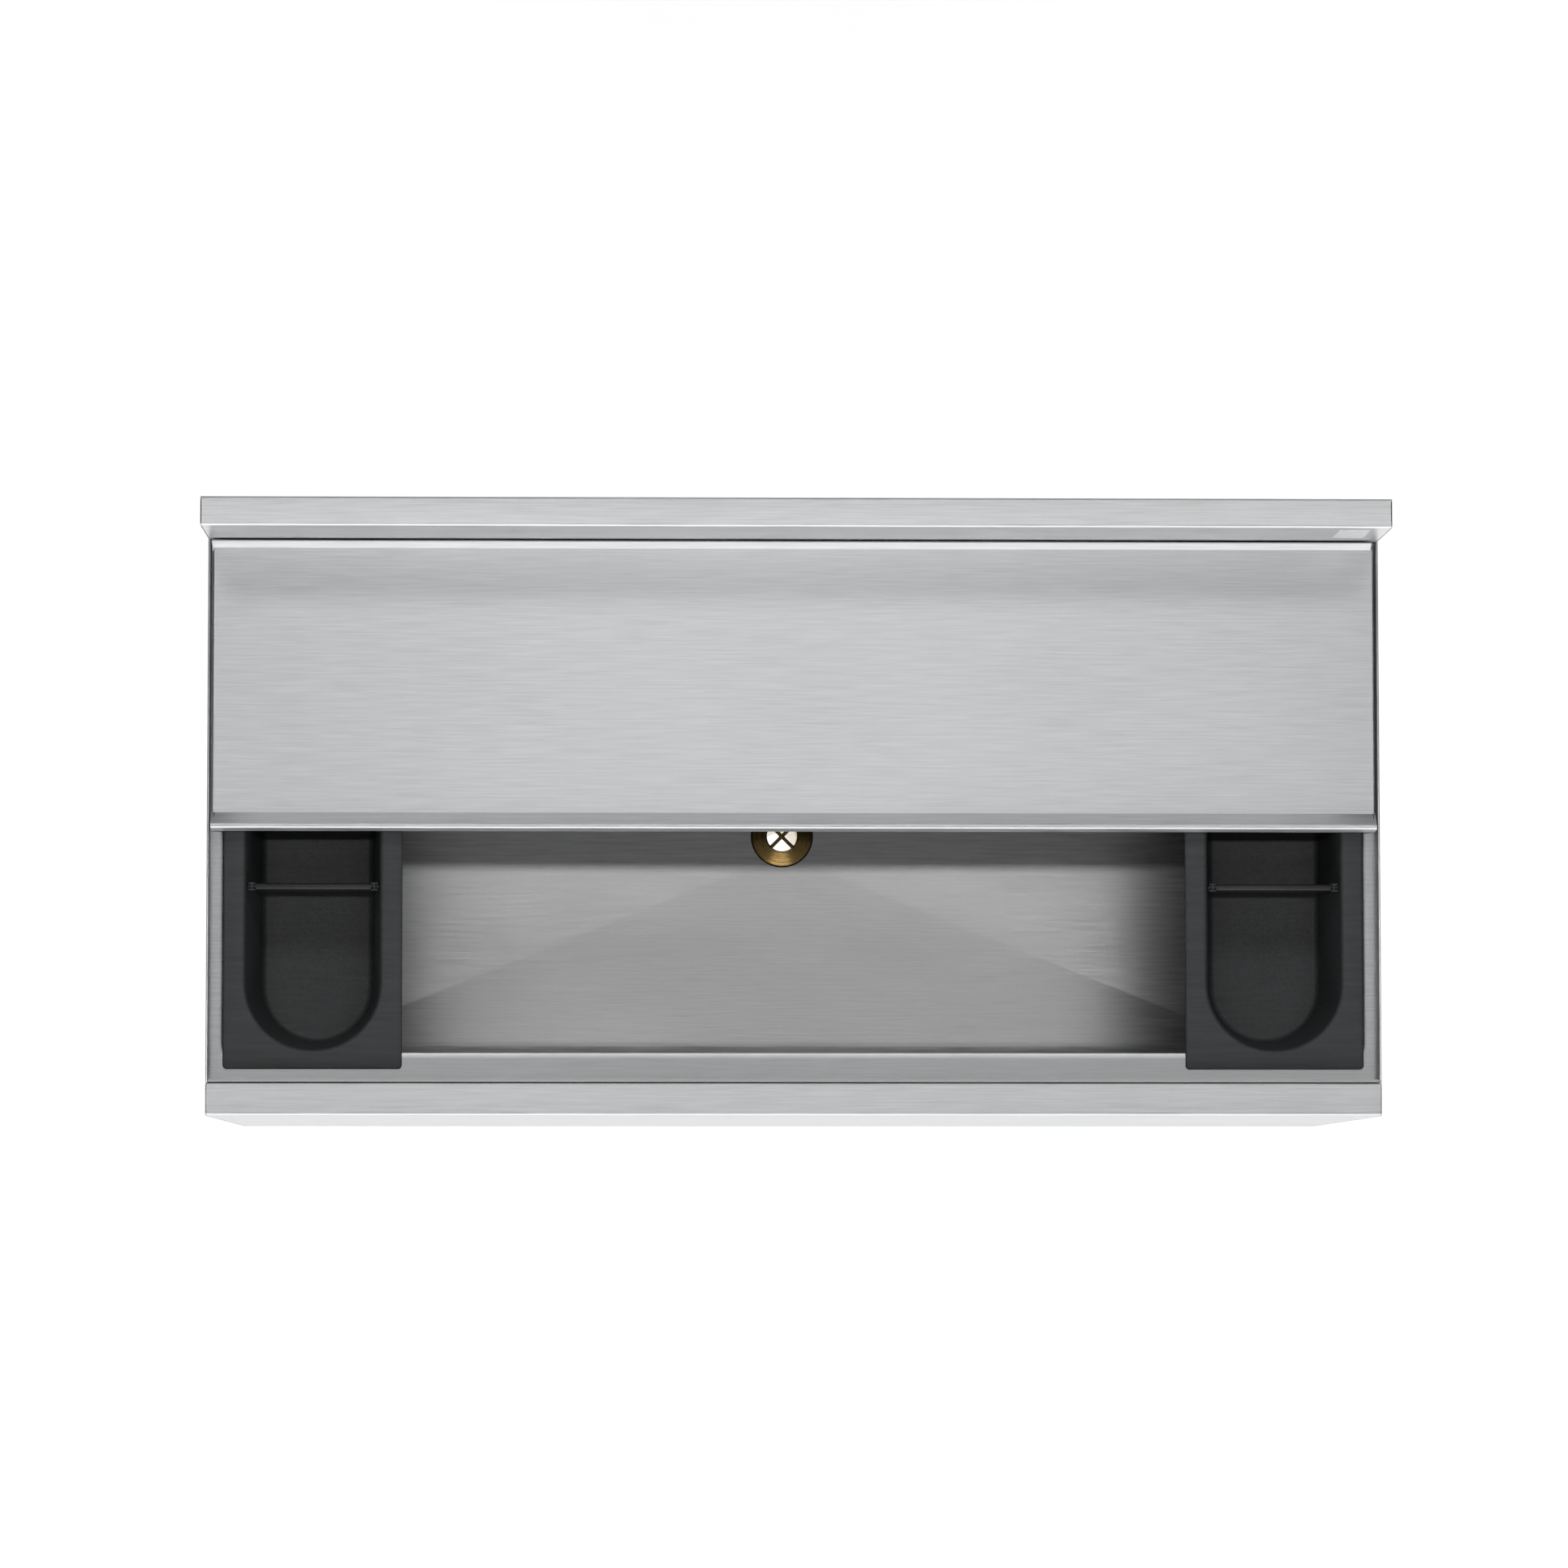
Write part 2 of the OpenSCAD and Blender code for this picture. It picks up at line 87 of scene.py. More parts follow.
def bent(points: Sequence[Sequence[float]], radii: Number, steps: int = 6) -> np.ndarray:
    """Rounds the inner corners of an open line.

    Each corner's arc has its centre on the corner's bisector, at the radius divided by the
    sine of half the corner's angle, and it runs between the two points where the edges
    touch it.

    Args:
        points: Corners of the line, in two coordinates.
        radii: One radius, or one for each inner corner.
        steps: Number of chords in an arc.

    Returns:
        The rounded line, one point a row, with no point given twice.
    """
    corners = np.asarray(points, float)
    radius = np.broadcast_to(np.asarray(radii, float), (len(corners) - 2,))[:, None]
    middle = corners[1:-1]
    before, after = corners[:-2] - middle, corners[2:] - middle
    before /= np.linalg.norm(before, axis=1, keepdims=True)
    after /= np.linalg.norm(after, axis=1, keepdims=True)
    half = np.arccos(np.clip((before * after).sum(1, keepdims=True), -1, 1)) / 2
    bisector = (before + after) / np.linalg.norm(before + after, axis=1, keepdims=True)
    centre = middle + bisector * radius / np.sin(half)
    first = middle + before * radius / np.tan(half) - centre
    last = middle + after * radius / np.tan(half) - centre
    start = np.arctan2(first[:, 1], first[:, 0])[:, None]
    sweep = np.arctan2(last[:, 1], last[:, 0])[:, None] - start
    sweep = (sweep + math.pi) % (2 * math.pi) - math.pi
    angle = start + sweep * np.linspace(0, 1, steps + 1)
    arcs = centre[:, None] + radius[:, None] * np.stack([np.cos(angle), np.sin(angle)], -1)
    line = np.concatenate([corners[:1], arcs.reshape(-1, 2), corners[-1:]])
    apart = np.linalg.norm(np.diff(line, axis=0), axis=1) > 1e-5
    return line[np.concatenate([[True], apart])]


def moved(line: np.ndarray, distance: float, closed: bool = False) -> np.ndarray:
    """Moves a line to its left, with mitred corners.

    A point goes along the sum of the left normals of its two edges, divided by one plus
    their dot product, times the distance.

    Args:
        line: The line's points in two coordinates.
        distance: How far it moves; a negative one moves it to its right.
        closed: Whether its last point joins its first.

    Returns:
        The moved points, in the same order.
    """
    step = np.roll(line, -1, 0) - line
    if not closed:
        step[-1] = step[-2]
    normal = np.stack([-step[:, 1], step[:, 0]], 1)
    normal /= np.linalg.norm(normal, axis=1, keepdims=True)
    last = np.roll(normal, 1, 0)
    if not closed:
        last[0] = normal[0]
    return line + distance * (last + normal) / (1 + (last * normal).sum(1))[:, None]


def rings(half: Number, low: Number, high: Number, radius: Number, z: Number,
          centre: float = 0.0, steps: int = 10) -> np.ndarray:
    """Rounded rectangles around the Z axis, one above or inside the other.

    A corner is a quarter circle of the given radius about a point that lies that radius
    inside both of its sides, so that a radius of half the width gives round ends.

    Args:
        half: Half width along X, one number or one for each ring.
        low: Lowest Y.
        high: Highest Y.
        radius: Corner radius.
        z: Height.
        centre: X of the middle.
        steps: Number of chords in a corner.

    Returns:
        An array of rings by points by coordinates.
    """
    half, low, high, radius, z = (a[:, None, None] for a in np.broadcast_arrays(
        *(np.atleast_1d(np.asarray(a, float)) for a in (half, low, high, radius, z))))
    quarter = np.linspace(0, math.pi / 2, steps + 1)
    angle = (np.arange(4)[:, None] * math.pi / 2 + quarter)[None]
    to_right = np.array([1, -1, -1, 1])[None, :, None]
    to_back = np.array([1, 1, -1, -1])[None, :, None]
    x = centre + to_right * (half - radius) + radius * np.cos(angle)
    y = np.where(to_back > 0, high - radius, low + radius) + radius * np.sin(angle)
    points = np.stack([x, y, z + 0 * x], -1)
    return points.reshape(len(points), -1, 3)


def turned(profile: np.ndarray, x: float, y: float, sides: int = 72) -> np.ndarray:
    """Carries a profile of radius and height once round the upright axis at x, y."""
    angle = np.linspace(0, 2 * math.pi, sides, endpoint=False)
    radius, z = profile[:, :1], profile[:, 1:]
    return np.stack([x + radius * np.cos(angle), y + radius * np.sin(angle),
                     z + 0 * angle], -1)


def on_axis(flat: np.ndarray, along: np.ndarray, axis: Axis) -> np.ndarray:
    """Puts points of a flat section at places along an axis, the other two in order."""
    columns = [flat[:, 0], flat[:, 1]]
    columns.insert(axis.value, along)
    return np.stack(columns, 1)


# ---------------------------------------------------------------- meshes


@dataclass
class Skin:
    """Closed shells that are gathered before they become the mesh of one piece."""

    points: list = field(default_factory=list)
    faces: list = field(default_factory=list)
    count: int = 0

    def _add(self, points: np.ndarray) -> int:
        """Keeps points and returns the number of the first of them."""
        start = self.count
        self.points.append(points.reshape(-1, 3))
        self.count += len(self.points[-1])
        return start

    def grid(self, points: np.ndarray, rows_meet: bool = False,
             columns_meet: bool = False) -> "Skin":
        """Adds the quads between the points of a grid.

        Args:
            points: Rows by columns by coordinates.
            rows_meet: Whether the last row joins the first.
            columns_meet: Whether the last column joins the first.
        """
        rows, columns = points.shape[:2]
        number = self._add(points) + np.arange(rows * columns).reshape(rows, columns)
        if rows_meet:
            number = np.concatenate([number, number[:1]])
        if columns_meet:
            number = np.concatenate([number, number[:, :1]], 1)
        corners = [number[:-1, :-1], number[:-1, 1:], number[1:, 1:], number[1:, :-1]]
        self.faces += np.stack(corners, -1).reshape(-1, 4).tolist()
        return self

    def cap(self, ring: np.ndarray) -> "Skin":
        """Adds one face with a flat ring of points as its edge."""
        start = self._add(ring)
        self.faces.append(list(range(start, start + len(ring))))
        return self

    def tube(self, loops: np.ndarray) -> "Skin":
        """Adds loops joined in order, closed by a face at each end."""
        return self.grid(loops, columns_meet=True).cap(loops[0]).cap(loops[-1])

    def sheet(self, line: np.ndarray, thickness: float, low: Number, high: Number,
              axis: Axis = Axis.X) -> "Skin":
        """Adds a folded sheet that follows a line and is carried along an axis.

        The sheet is a tube of four-cornered loops: the line and its copy moved left by the
        thickness, each at the low and at the high end.

        Args:
            line: The fold line in the section's two coordinates.
            thickness: Sheet thickness; a positive one lies to the line's left.
            low: Where the sheet starts along the axis, one number or one for each point.
            high: Where it ends.
            axis: The axis along which it is carried.
        """
        other = moved(line, thickness)
        ends = [np.broadcast_to(np.asarray(e, float), (len(line),)) for e in (low, high)]
        corners = [on_axis(line, ends[0], axis), on_axis(line, ends[1], axis),
                   on_axis(other, ends[1], axis), on_axis(other, ends[0], axis)]
        return self.tube(np.stack(corners, 1))

    def plate(self, outline: np.ndarray, low: float, high: float, axis: Axis,
              edge: float = 0.3) -> "Skin":
        """Adds a plate with eased edges, its closed outline drawn anticlockwise.

        The outline is moved in by the edge at both faces and stands full between them.
        """
        inner = moved(outline, edge, closed=True)
        stations = [(inner, low), (outline, low + edge), (outline, high - edge), (inner, high)]
        return self.tube(np.stack([on_axis(flat, np.full(len(flat), at), axis)
                                   for flat, at in stations]))

    def lathe(self, profile: np.ndarray, x: float, y: float, sides: int = 72) -> "Skin":
        """Adds a turned shell; the profile is a closed loop of radius and height."""
        return self.grid(turned(profile, x, y, sides), rows_meet=True, columns_meet=True)

    def piece(self, name: str, dress: "Dress", replaces: Iterable[str] = (),
              sharp: float = 32.0) -> bpy.types.Object:
        """Makes the mesh, points its faces outwards, and says what the piece is.

        Args:
            name: The piece's name.
            dress: The body it rides on and its material.
            replaces: The CAD nodes it stands for.
            sharp: The least angle, in degrees, of an edge that stays sharp.

        Returns:
            The new object, at the origin.
        """
        mesh = bpy.data.meshes.new(name)
        mesh.from_pydata((np.concatenate(self.points) * MM).tolist(), [], self.faces)
        shape = bmesh.new()
        shape.from_mesh(mesh)
        bmesh.ops.remove_doubles(shape, verts=shape.verts, dist=0.004 * MM)
        bmesh.ops.dissolve_degenerate(shape, dist=0.002 * MM, edges=shape.edges)
        bmesh.ops.recalc_face_normals(shape, faces=shape.faces)
        shape.to_mesh(mesh)
        shape.free()
        mesh.shade_smooth()
        mesh.set_sharp_from_angle(angle=math.radians(sharp))
        thing = bpy.data.objects.new(name, mesh)
        bpy.context.scene.collection.objects.link(thing)
        mesh.materials.append(dress.material)
        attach(thing, dress.body)
        if replaces:
            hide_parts(*replaces)
        LOG.info("%s: %d faces on %s", name, len(mesh.polygons), dress.body)
        return thing


@dataclass(frozen=True)
class Dress:
    """What a piece rides on, the slot its finish belongs to, and its material."""

    body: str
    slot: Slot
    material: bpy.types.Material


# ---------------------------------------------------------------- materials


def linear(code: str) -> tuple[float, float, float, float]:
    """Turns an sRGB hex colour to linear red, green, blue and an alpha of one."""
    values = np.array([int(code[i:i + 2], 16) for i in (0, 2, 4)]) / 255
    values = np.where(values <= 0.04045, values / 12.92, ((values + 0.055) / 1.055) ** 2.4)
    return (*values.tolist(), 1.0)


def add_node(tree: bpy.types.NodeTree, kind: str, settings: Mapping[str, object] = {},
             links: Mapping[object, object] = {}, **values: object) -> bpy.types.Node:
    """Adds a node, sets its properties and sockets, and links its inputs.

    Args:
        tree: The material's or world's node tree.
        kind: Blender's name for the kind of node.
        settings: Values of input sockets, by name or by number.
        links: Output sockets to link, by the name or number of the input.
        values: Properties of the node.

    Returns:
        The node.
    """
    node = tree.nodes.new(kind)
    for name, value in values.items():
        setattr(node, name, value)
    for name, value in settings.items():
        node.inputs[name].default_value = value
    for name, socket in links.items():
        tree.links.new(socket, node.inputs[name])
    return node


def new_material(name: str) -> tuple[bpy.types.Material, bpy.types.NodeTree]:
    """Makes an empty node material and returns it with its tree."""
    material = bpy.data.materials.new(name)
    material.use_nodes = True
    material.node_tree.nodes.clear()
    return material, material.node_tree


def close_material(tree: bpy.types.NodeTree, shader: bpy.types.Node) -> None:
    """Links a shader to the material's output."""
    add_node(tree, "ShaderNodeOutputMaterial", links={"Surface": shader.outputs[0]})


def pattern(tree: bpy.types.NodeTree, size_mm: Sequence[float], detail: float = 2.0,
            centre_mm: Sequence[float] = (0, 0, 0)) -> bpy.types.NodeSocket:
    """A noise on Object coordinates whose grains have a real size along each axis.

    Args:
        tree: The node tree.
        size_mm: Size of a grain along X, Y and Z.
        detail: How many finer layers the noise has.
        centre_mm: The point that the pattern is centred on.

    Returns:
        The noise's value, around a half.
    """
    scale = [1 / (s * MM) for s in size_mm]
    where = add_node(tree, "ShaderNodeTexCoord").outputs["Object"]
    placed = add_node(tree, "ShaderNodeMapping",
                      {"Scale": scale,
                       "Location": [-c * MM * s for c, s in zip(centre_mm, scale)]},
                      {"Vector": where})
    return add_node(tree, "ShaderNodeTexNoise", {"Scale": 1.0, "Detail": detail},
                    {"Vector": placed.outputs[0]}).outputs[0]


def between(tree: bpy.types.NodeTree, value: bpy.types.NodeSocket, low: float, high: float,
            from_low: float = 0.3, from_high: float = 0.7) -> bpy.types.NodeSocket:
    """Turns a noise value to a number between low and high, evenly.

    Args:
        tree: The node tree.
        value: The noise.
        low: What from_low becomes.
        high: What from_high becomes.
        from_low: The noise's low value, below which the result stays low.
        from_high: The noise's high value.

    Returns:
        The number's socket.
    """
    return add_node(tree, "ShaderNodeMapRange",
                    {"From Min": from_low, "From Max": from_high, "To Min": low,
                     "To Max": high}, {"Value": value}).outputs[0]


def mixed(tree: bpy.types.NodeTree, share: bpy.types.NodeSocket, first: object,
          second: object) -> bpy.types.NodeSocket:
    """Mixes two colours, each a hex code or a socket, by a share from 0 to 1."""
    node = add_node(tree, "ShaderNodeMix", links={0: share}, data_type="RGBA")
    for number, colour in ((6, first), (7, second)):
        if isinstance(colour, str):
            node.inputs[number].default_value = linear(colour)
        else:
            tree.links.new(colour, node.inputs[number])
    return node.outputs[2]


@dataclass(frozen=True)
class BrushedSteel:
    """Stainless sheet with a grit-belt finish: short streaks along the grain, soft gloss."""

    name: str
    dark: str = "CBCCCD"
    light: str = "DDDEDF"
    grain: Axis = Axis.X
    streak_mm: float = 46.0
    width_mm: float = 1.5
    rough: float = 0.36
    rough_spread: float = 0.04
    cut_mm: float = 0.006
    smudge: float = 0.35
    spread: float = 0.8
    # colour and width of a painted highlight along the mouth's long edges, standing in for light
    # caught by the lip; no highlight when the colour is empty
    painted_lip_highlight: str = ""
    painted_lip_highlight_mm: float = 4.6
    cloud_mm: tuple[float, float, float] = (170.0, 120.0, 120.0)

    def material(self) -> bpy.types.Material:
        """Builds the material.

        The streaks are drawn about ten times as wide as belt scratches, which are too fine
        to show. Broad faint clouds vary the gloss a little. Where a lip colour is given, a
        painted highlight lightens the mouth's long edges.
        """
        made, tree = new_material(self.name)
        size = [self.width_mm] * 3
        size[self.grain.value] = self.streak_mm
        streaks = pattern(tree, size, detail=3.0)
        clouds = pattern(tree, self.cloud_mm, detail=2.0)
        share = between(tree, streaks, 0.0, 1.0)
        colour = mixed(tree, share, self.dark, self.light)
        # painted highlight: a lighter colour along the mouth's lips, where light would catch them
        if self.painted_lip_highlight:
            colour = mixed(tree, self.lip_highlight_share(tree), colour, self.painted_lip_highlight)
        low, high = self.rough - self.rough_spread, self.rough + self.rough_spread
        gloss = between(tree, streaks, low, high)
        cloudy = between(tree, clouds, -self.rough_spread * self.smudge,
                         self.rough_spread * self.smudge)
        rough = add_node(tree, "ShaderNodeMath", links={0: gloss, 1: cloudy},
                         operation="ADD").outputs[0]
        cuts = add_node(tree, "ShaderNodeBump", {"Strength": 1.0, "Distance": self.cut_mm * MM},
                        {"Height": streaks}).outputs[0]
        across = [1.0, 1.0, 1.0]
        across[self.grain.value] = 0.0
        sideways = add_node(tree, "ShaderNodeCombineXYZ", dict(enumerate(across))).outputs[0]
        shader = add_node(tree, "ShaderNodeBsdfPrincipled",
                          {"Metallic": 1.0, "Anisotropic": self.spread},
                          {"Base Color": colour, "Roughness": rough, "Normal": cuts,
                           "Tangent": sideways})
        close_material(tree, shader)
        return made

    def lip_highlight_share(self, tree: bpy.types.NodeTree) -> bpy.types.NodeSocket:
        """The share of the painted highlight along the mouth's long edges.

        It is 1 at the edge and falls evenly to 0 at the highlight's width outside it, by the
        distance from the mouth's middle line along Y, and it is 0 beyond the mouth's ends.
        """
        middle = (BODY.mouth_front + BODY.mouth_back) / 2
        edge = (BODY.mouth_back - BODY.mouth_front) / 2
        where = add_node(tree, "ShaderNodeTexCoord").outputs["Object"]
        split = add_node(tree, "ShaderNodeSeparateXYZ", links={0: where})
        off = add_node(tree, "ShaderNodeMath", {1: middle * MM}, {0: split.outputs["Y"]},
                       operation="SUBTRACT").outputs[0]
        off = add_node(tree, "ShaderNodeMath", links={0: off}, operation="ABSOLUTE").outputs[0]
        near = add_node(tree, "ShaderNodeMapRange",
                        {"From Min": (edge + self.painted_lip_highlight_mm) * MM,
                         "From Max": edge * MM},
                        {"Value": off}).outputs[0]
        aside = add_node(tree, "ShaderNodeMath", links={0: split.outputs["X"]},
                         operation="ABSOLUTE").outputs[0]
        inside = add_node(tree, "ShaderNodeMath", {1: BODY.mouth_half * MM}, {0: aside},
                          operation="LESS_THAN").outputs[0]
        return add_node(tree, "ShaderNodeMath", links={0: near, 1: inside},
                        operation="MULTIPLY").outputs[0]


@dataclass(frozen=True)
class MouldedPlastic:
    """Injection-moulded plastic with a fine spark-eroded texture that dulls its gloss."""

    name: str
    dark: str
    light: str
    rough: float = 0.5
    grain_mm: float = 1.4
    relief_mm: float = 0.03
    flow_mm: float = 40.0
    specular: float = 0.5

    def material(self) -> bpy.types.Material:
        """Builds the material: fine relief, and long faint flow marks along X."""
        made, tree = new_material(self.name)
        texture = pattern(tree, (self.grain_mm,) * 3, detail=2.0)
        flow = pattern(tree, (self.flow_mm, 3.0, 3.0), detail=2.0)
        colour = mixed(tree, between(tree, flow, 0.0, 1.0), self.dark, self.light)
        rough = between(tree, texture, self.rough - 0.06, self.rough + 0.06)
        relief = add_node(tree, "ShaderNodeBump",
                          {"Strength": 1.0, "Distance": self.relief_mm * MM},
                          {"Height": texture}).outputs[0]
        shader = add_node(tree, "ShaderNodeBsdfPrincipled",
                          {"IOR": 1.49, "Specular IOR Level": self.specular},
                          {"Base Color": colour, "Roughness": rough, "Normal": relief})
        close_material(tree, shader)
        return made


@dataclass(frozen=True)
class TurnedBrass:
    """Brass turned on a lathe: rings about its axis, and a painted shade that darkens it towards
    the back, under the cover.
    """

    name: str
    dark: str = "8A7748"
    light: str = "F0C67C"
    x: float = 0.0
    y: float = 6.8
    ring_mm: float = 0.9
    rough: float = 0.22
    spread: float = 0.5
    cut_mm: float = 0.02
    painted_shade_from_mm: float = -20.0
    painted_shade_to_mm: float = 22.0
    painted_shade_most: float = 0.85

    def material(self) -> bpy.types.Material:
        """Builds the material.

        The rings are a noise of the distance from the axis; the tarnish is a broad noise, and a
        painted shade of the cover is added to it, so that the mix is stronger towards the back.
        """
        made, tree = new_material(self.name)
        where = add_node(tree, "ShaderNodeTexCoord").outputs["Object"]
        placed = add_node(tree, "ShaderNodeMapping",
                          {"Location": (-self.x * MM, -self.y * MM, 0), "Scale": (1, 1, 0)},
                          {"Vector": where}).outputs[0]
        reach = add_node(tree, "ShaderNodeVectorMath", links={0: placed},
                         operation="LENGTH").outputs["Value"]
        rings_noise = add_node(tree, "ShaderNodeTexNoise",
                               {"Scale": 1 / (self.ring_mm * MM), "Detail": 2.0},
                               {"W": reach}, noise_dimensions="1D").outputs[0]
        split = add_node(tree, "ShaderNodeSeparateXYZ", links={0: placed})
        # painted shade: darker towards the back, where the upper cover shades the drain
        back = add_node(tree, "ShaderNodeMapRange",
                        {"From Min": self.painted_shade_from_mm * MM,
                         "From Max": self.painted_shade_to_mm * MM, "To Min": 0.0,
                         "To Max": self.painted_shade_most}, {"Value": split.outputs["Y"]}).outputs[0]
        blotch = between(tree, pattern(tree, (14, 9, 9)), -0.15, 0.2)
        # random tarnish from the blotch noise, plus the painted shade from the ramp towards the
        # back
        tarnish_and_shade = add_node(tree, "ShaderNodeMath", links={0: back, 1: blotch},
                           operation="ADD", use_clamp=True).outputs[0]
        colour = mixed(tree, tarnish_and_shade, self.light, self.dark)
        shade = between(tree, rings_noise, 0.0, 0.35)
        colour = mixed(tree, shade, colour, self.dark)
        rough = between(tree, rings_noise, self.rough - 0.06, self.rough + 0.1)
        cuts = add_node(tree, "ShaderNodeBump", {"Strength": 1.0, "Distance": self.cut_mm * MM},
                        {"Height": rings_noise}).outputs[0]
        shader = add_node(tree, "ShaderNodeBsdfPrincipled",
                          {"Metallic": 1.0, "Anisotropic": self.spread},
                          {"Base Color": colour, "Roughness": rough, "Normal": cuts,
                           "Tangent": placed})
        close_material(tree, shader)
        return made


@dataclass(frozen=True)
class GrainedSolid:
    """Matt body material, such as foam, rubber or film, with an even small grain."""

    name: str
    dark: str
    light: str
    grain_mm: float
    rough: float
    relief_mm: float
    translucent: float = 0.0

    def material(self) -> bpy.types.Material:
        """Builds the material: one noise drives colour, gloss and relief."""
        made, tree = new_material(self.name)
        grain = pattern(tree, (self.grain_mm,) * 3, detail=3.0)
        colour = mixed(tree, between(tree, grain, 0.0, 1.0), self.dark, self.light)
        rough = between(tree, grain, self.rough - 0.05, self.rough + 0.05)
        relief = add_node(tree, "ShaderNodeBump",
                          {"Strength": 1.0, "Distance": self.relief_mm * MM},
                          {"Height": grain}).outputs[0]
        shader = add_node(tree, "ShaderNodeBsdfPrincipled",
                          {"Subsurface Weight": self.translucent},
                          {"Base Color": colour, "Roughness": rough, "Normal": relief})
        close_material(tree, shader)
        return made


@dataclass(frozen=True)
class Finishes:
    """Every finish of the bin, made once and shared by its pieces."""

    # 304 stainless sheet, belt-grained along the bin: soft grey with a satin streaked gloss
    outer: bpy.types.Material
    # the same sheet on the apron, painted a little darker as a shade that tones down the light on
    # its front face
    apron: bpy.types.Material
    # the same sheet on the ledge, painted darker again as the shade of its recess, with a painted
    # highlight along the mouth's lips
    deck: bpy.types.Material
    # the same sheet on the bin's ends, grained from front to back
    ends: bpy.types.Material
    # galvanised sheet of the hidden back and bottom: duller and mottled
    base: bpy.types.Material
    # the liner's 304 sheet, with slightly wider streaks and a softer gloss
    liner: bpy.types.Material
    # the covers' 304 sheet, a little darker and more even than the outer sheet
    cover: bpy.types.Material
    # drawn tube, polished along its length
    leg: bpy.types.Material
    # zinc-plated screws and washer
    fastener: bpy.types.Material
    # black ABS, injection moulded: a deep charcoal with a weak broad gloss
    well: bpy.types.Material
    # black polypropylene of the dividers, a little blacker than the wells
    divider: bpy.types.Material
    # turned brass of the drain with random tarnish, and a painted shade towards the back under the
    # cover: rings about its axis, a warm sheen
    brass: bpy.types.Material
    # EPDM gasket and the sealant under the drain's flange: black and matt
    rubber: bpy.types.Material
    # natural nylon glide strips: milky and waxy
    nylon: bpy.types.Material
    # grey nylon of the bullet feet
    foot: bpy.types.Material
    # rigid polyurethane board, sawn: straw-coloured open cells
    foam: bpy.types.Material
    # white vinyl film of the blank label
    label: bpy.types.Material


def make_finishes() -> Finishes:
    """Builds all the materials."""
    return Finishes(
        outer=BrushedSteel("stainless_304_belt_grained").material(),
        # apron: the outer sheet painted a little darker, a painted shade that tones down the light
        # its front face catches
        apron=BrushedSteel("stainless_304_apron", dark="BDBEBF", light="CFD0D1").material(),
        # ledge: the outer sheet painted darker as the shade of its recess, and a painted highlight
        # colour for the mouth's lips
        deck=BrushedSteel("stainless_304_ledge", dark="9FA0A1", light="B0B1B2",
                          painted_lip_highlight="F0F1F2").material(),
        ends=BrushedSteel("stainless_304_grained_along_y", grain=Axis.Y).material(),
        base=BrushedSteel("galvanised_sheet", dark="A6A9AB", light="BFC2C3", streak_mm=16,
                          width_mm=9, rough=0.46, rough_spread=0.1).material(),
        liner=BrushedSteel("stainless_304_ground_liner", dark="C4C5C4", light="DADBDA",
                           rough=0.38, rough_spread=0.05, width_mm=1.8).material(),
        cover=BrushedSteel("stainless_304_cover_sheet", dark="C6C7C8",
                           light="D6D7D8").material(),
        leg=BrushedSteel("stainless_drawn_tube", grain=Axis.Z, rough=0.26,
                         rough_spread=0.05).material(),
        fastener=BrushedSteel("zinc_plated_steel", dark="AEB0AE", light="C6C7C4",
                              streak_mm=2.5, rough=0.36).material(),
        well=MouldedPlastic("abs_moulded_black", dark="3E3F41", light="46484A",
                            rough=0.52).material(),
        divider=MouldedPlastic("polypropylene_moulded_black", dark="2A2B2C", light="323335",
                               rough=0.44, grain_mm=1.0).material(),
        brass=TurnedBrass("brass_turned_tarnished").material(),
        rubber=GrainedSolid("epdm_rubber", "0D0D0D", "151515", 1.0, 0.78, 0.03).material(),
        nylon=GrainedSolid("nylon_extruded_natural", "D8D4C6", "E6E3D8", 2.5, 0.42, 0.02,
                           translucent=0.15).material(),
        foot=MouldedPlastic("nylon_moulded_grey", dark="3B3D3F", light="45474A", rough=0.48,
                            grain_mm=1.2).material(),
        foam=GrainedSolid("polyurethane_foam_sawn", "C9B77C", "E2D29A", 1.8, 0.9,
                          0.6).material(),
        label=GrainedSolid("vinyl_film_white", "E4E5E6", "F2F3F3", 4.0, 0.38,
                           0.01).material())


# ---------------------------------------------------------------- the bin's pieces


@dataclass(frozen=True)
class Body:
    """Sizes that the sub-assemblies share."""

    half_width: float = 457.2
    front: float = -236.3
    back: float = 236.3
    seam: float = -210.8
    splash: float = 213.4
    base: float = 362.0
    rim: float = 762.0
    ledge: float = 750.0
    sheet: float = 1.2
    panel: float = 1.0
    mouth_half: float = 445.0
    mouth_front: float = -187.0
    mouth_back: float = 200.6
    mouth_corner: float = 7.0
    liner_top: float = 738.0
    drain_y: float = 6.8
    leg_x: float = 395.0
    leg_y: float = 165.0


BODY = Body()


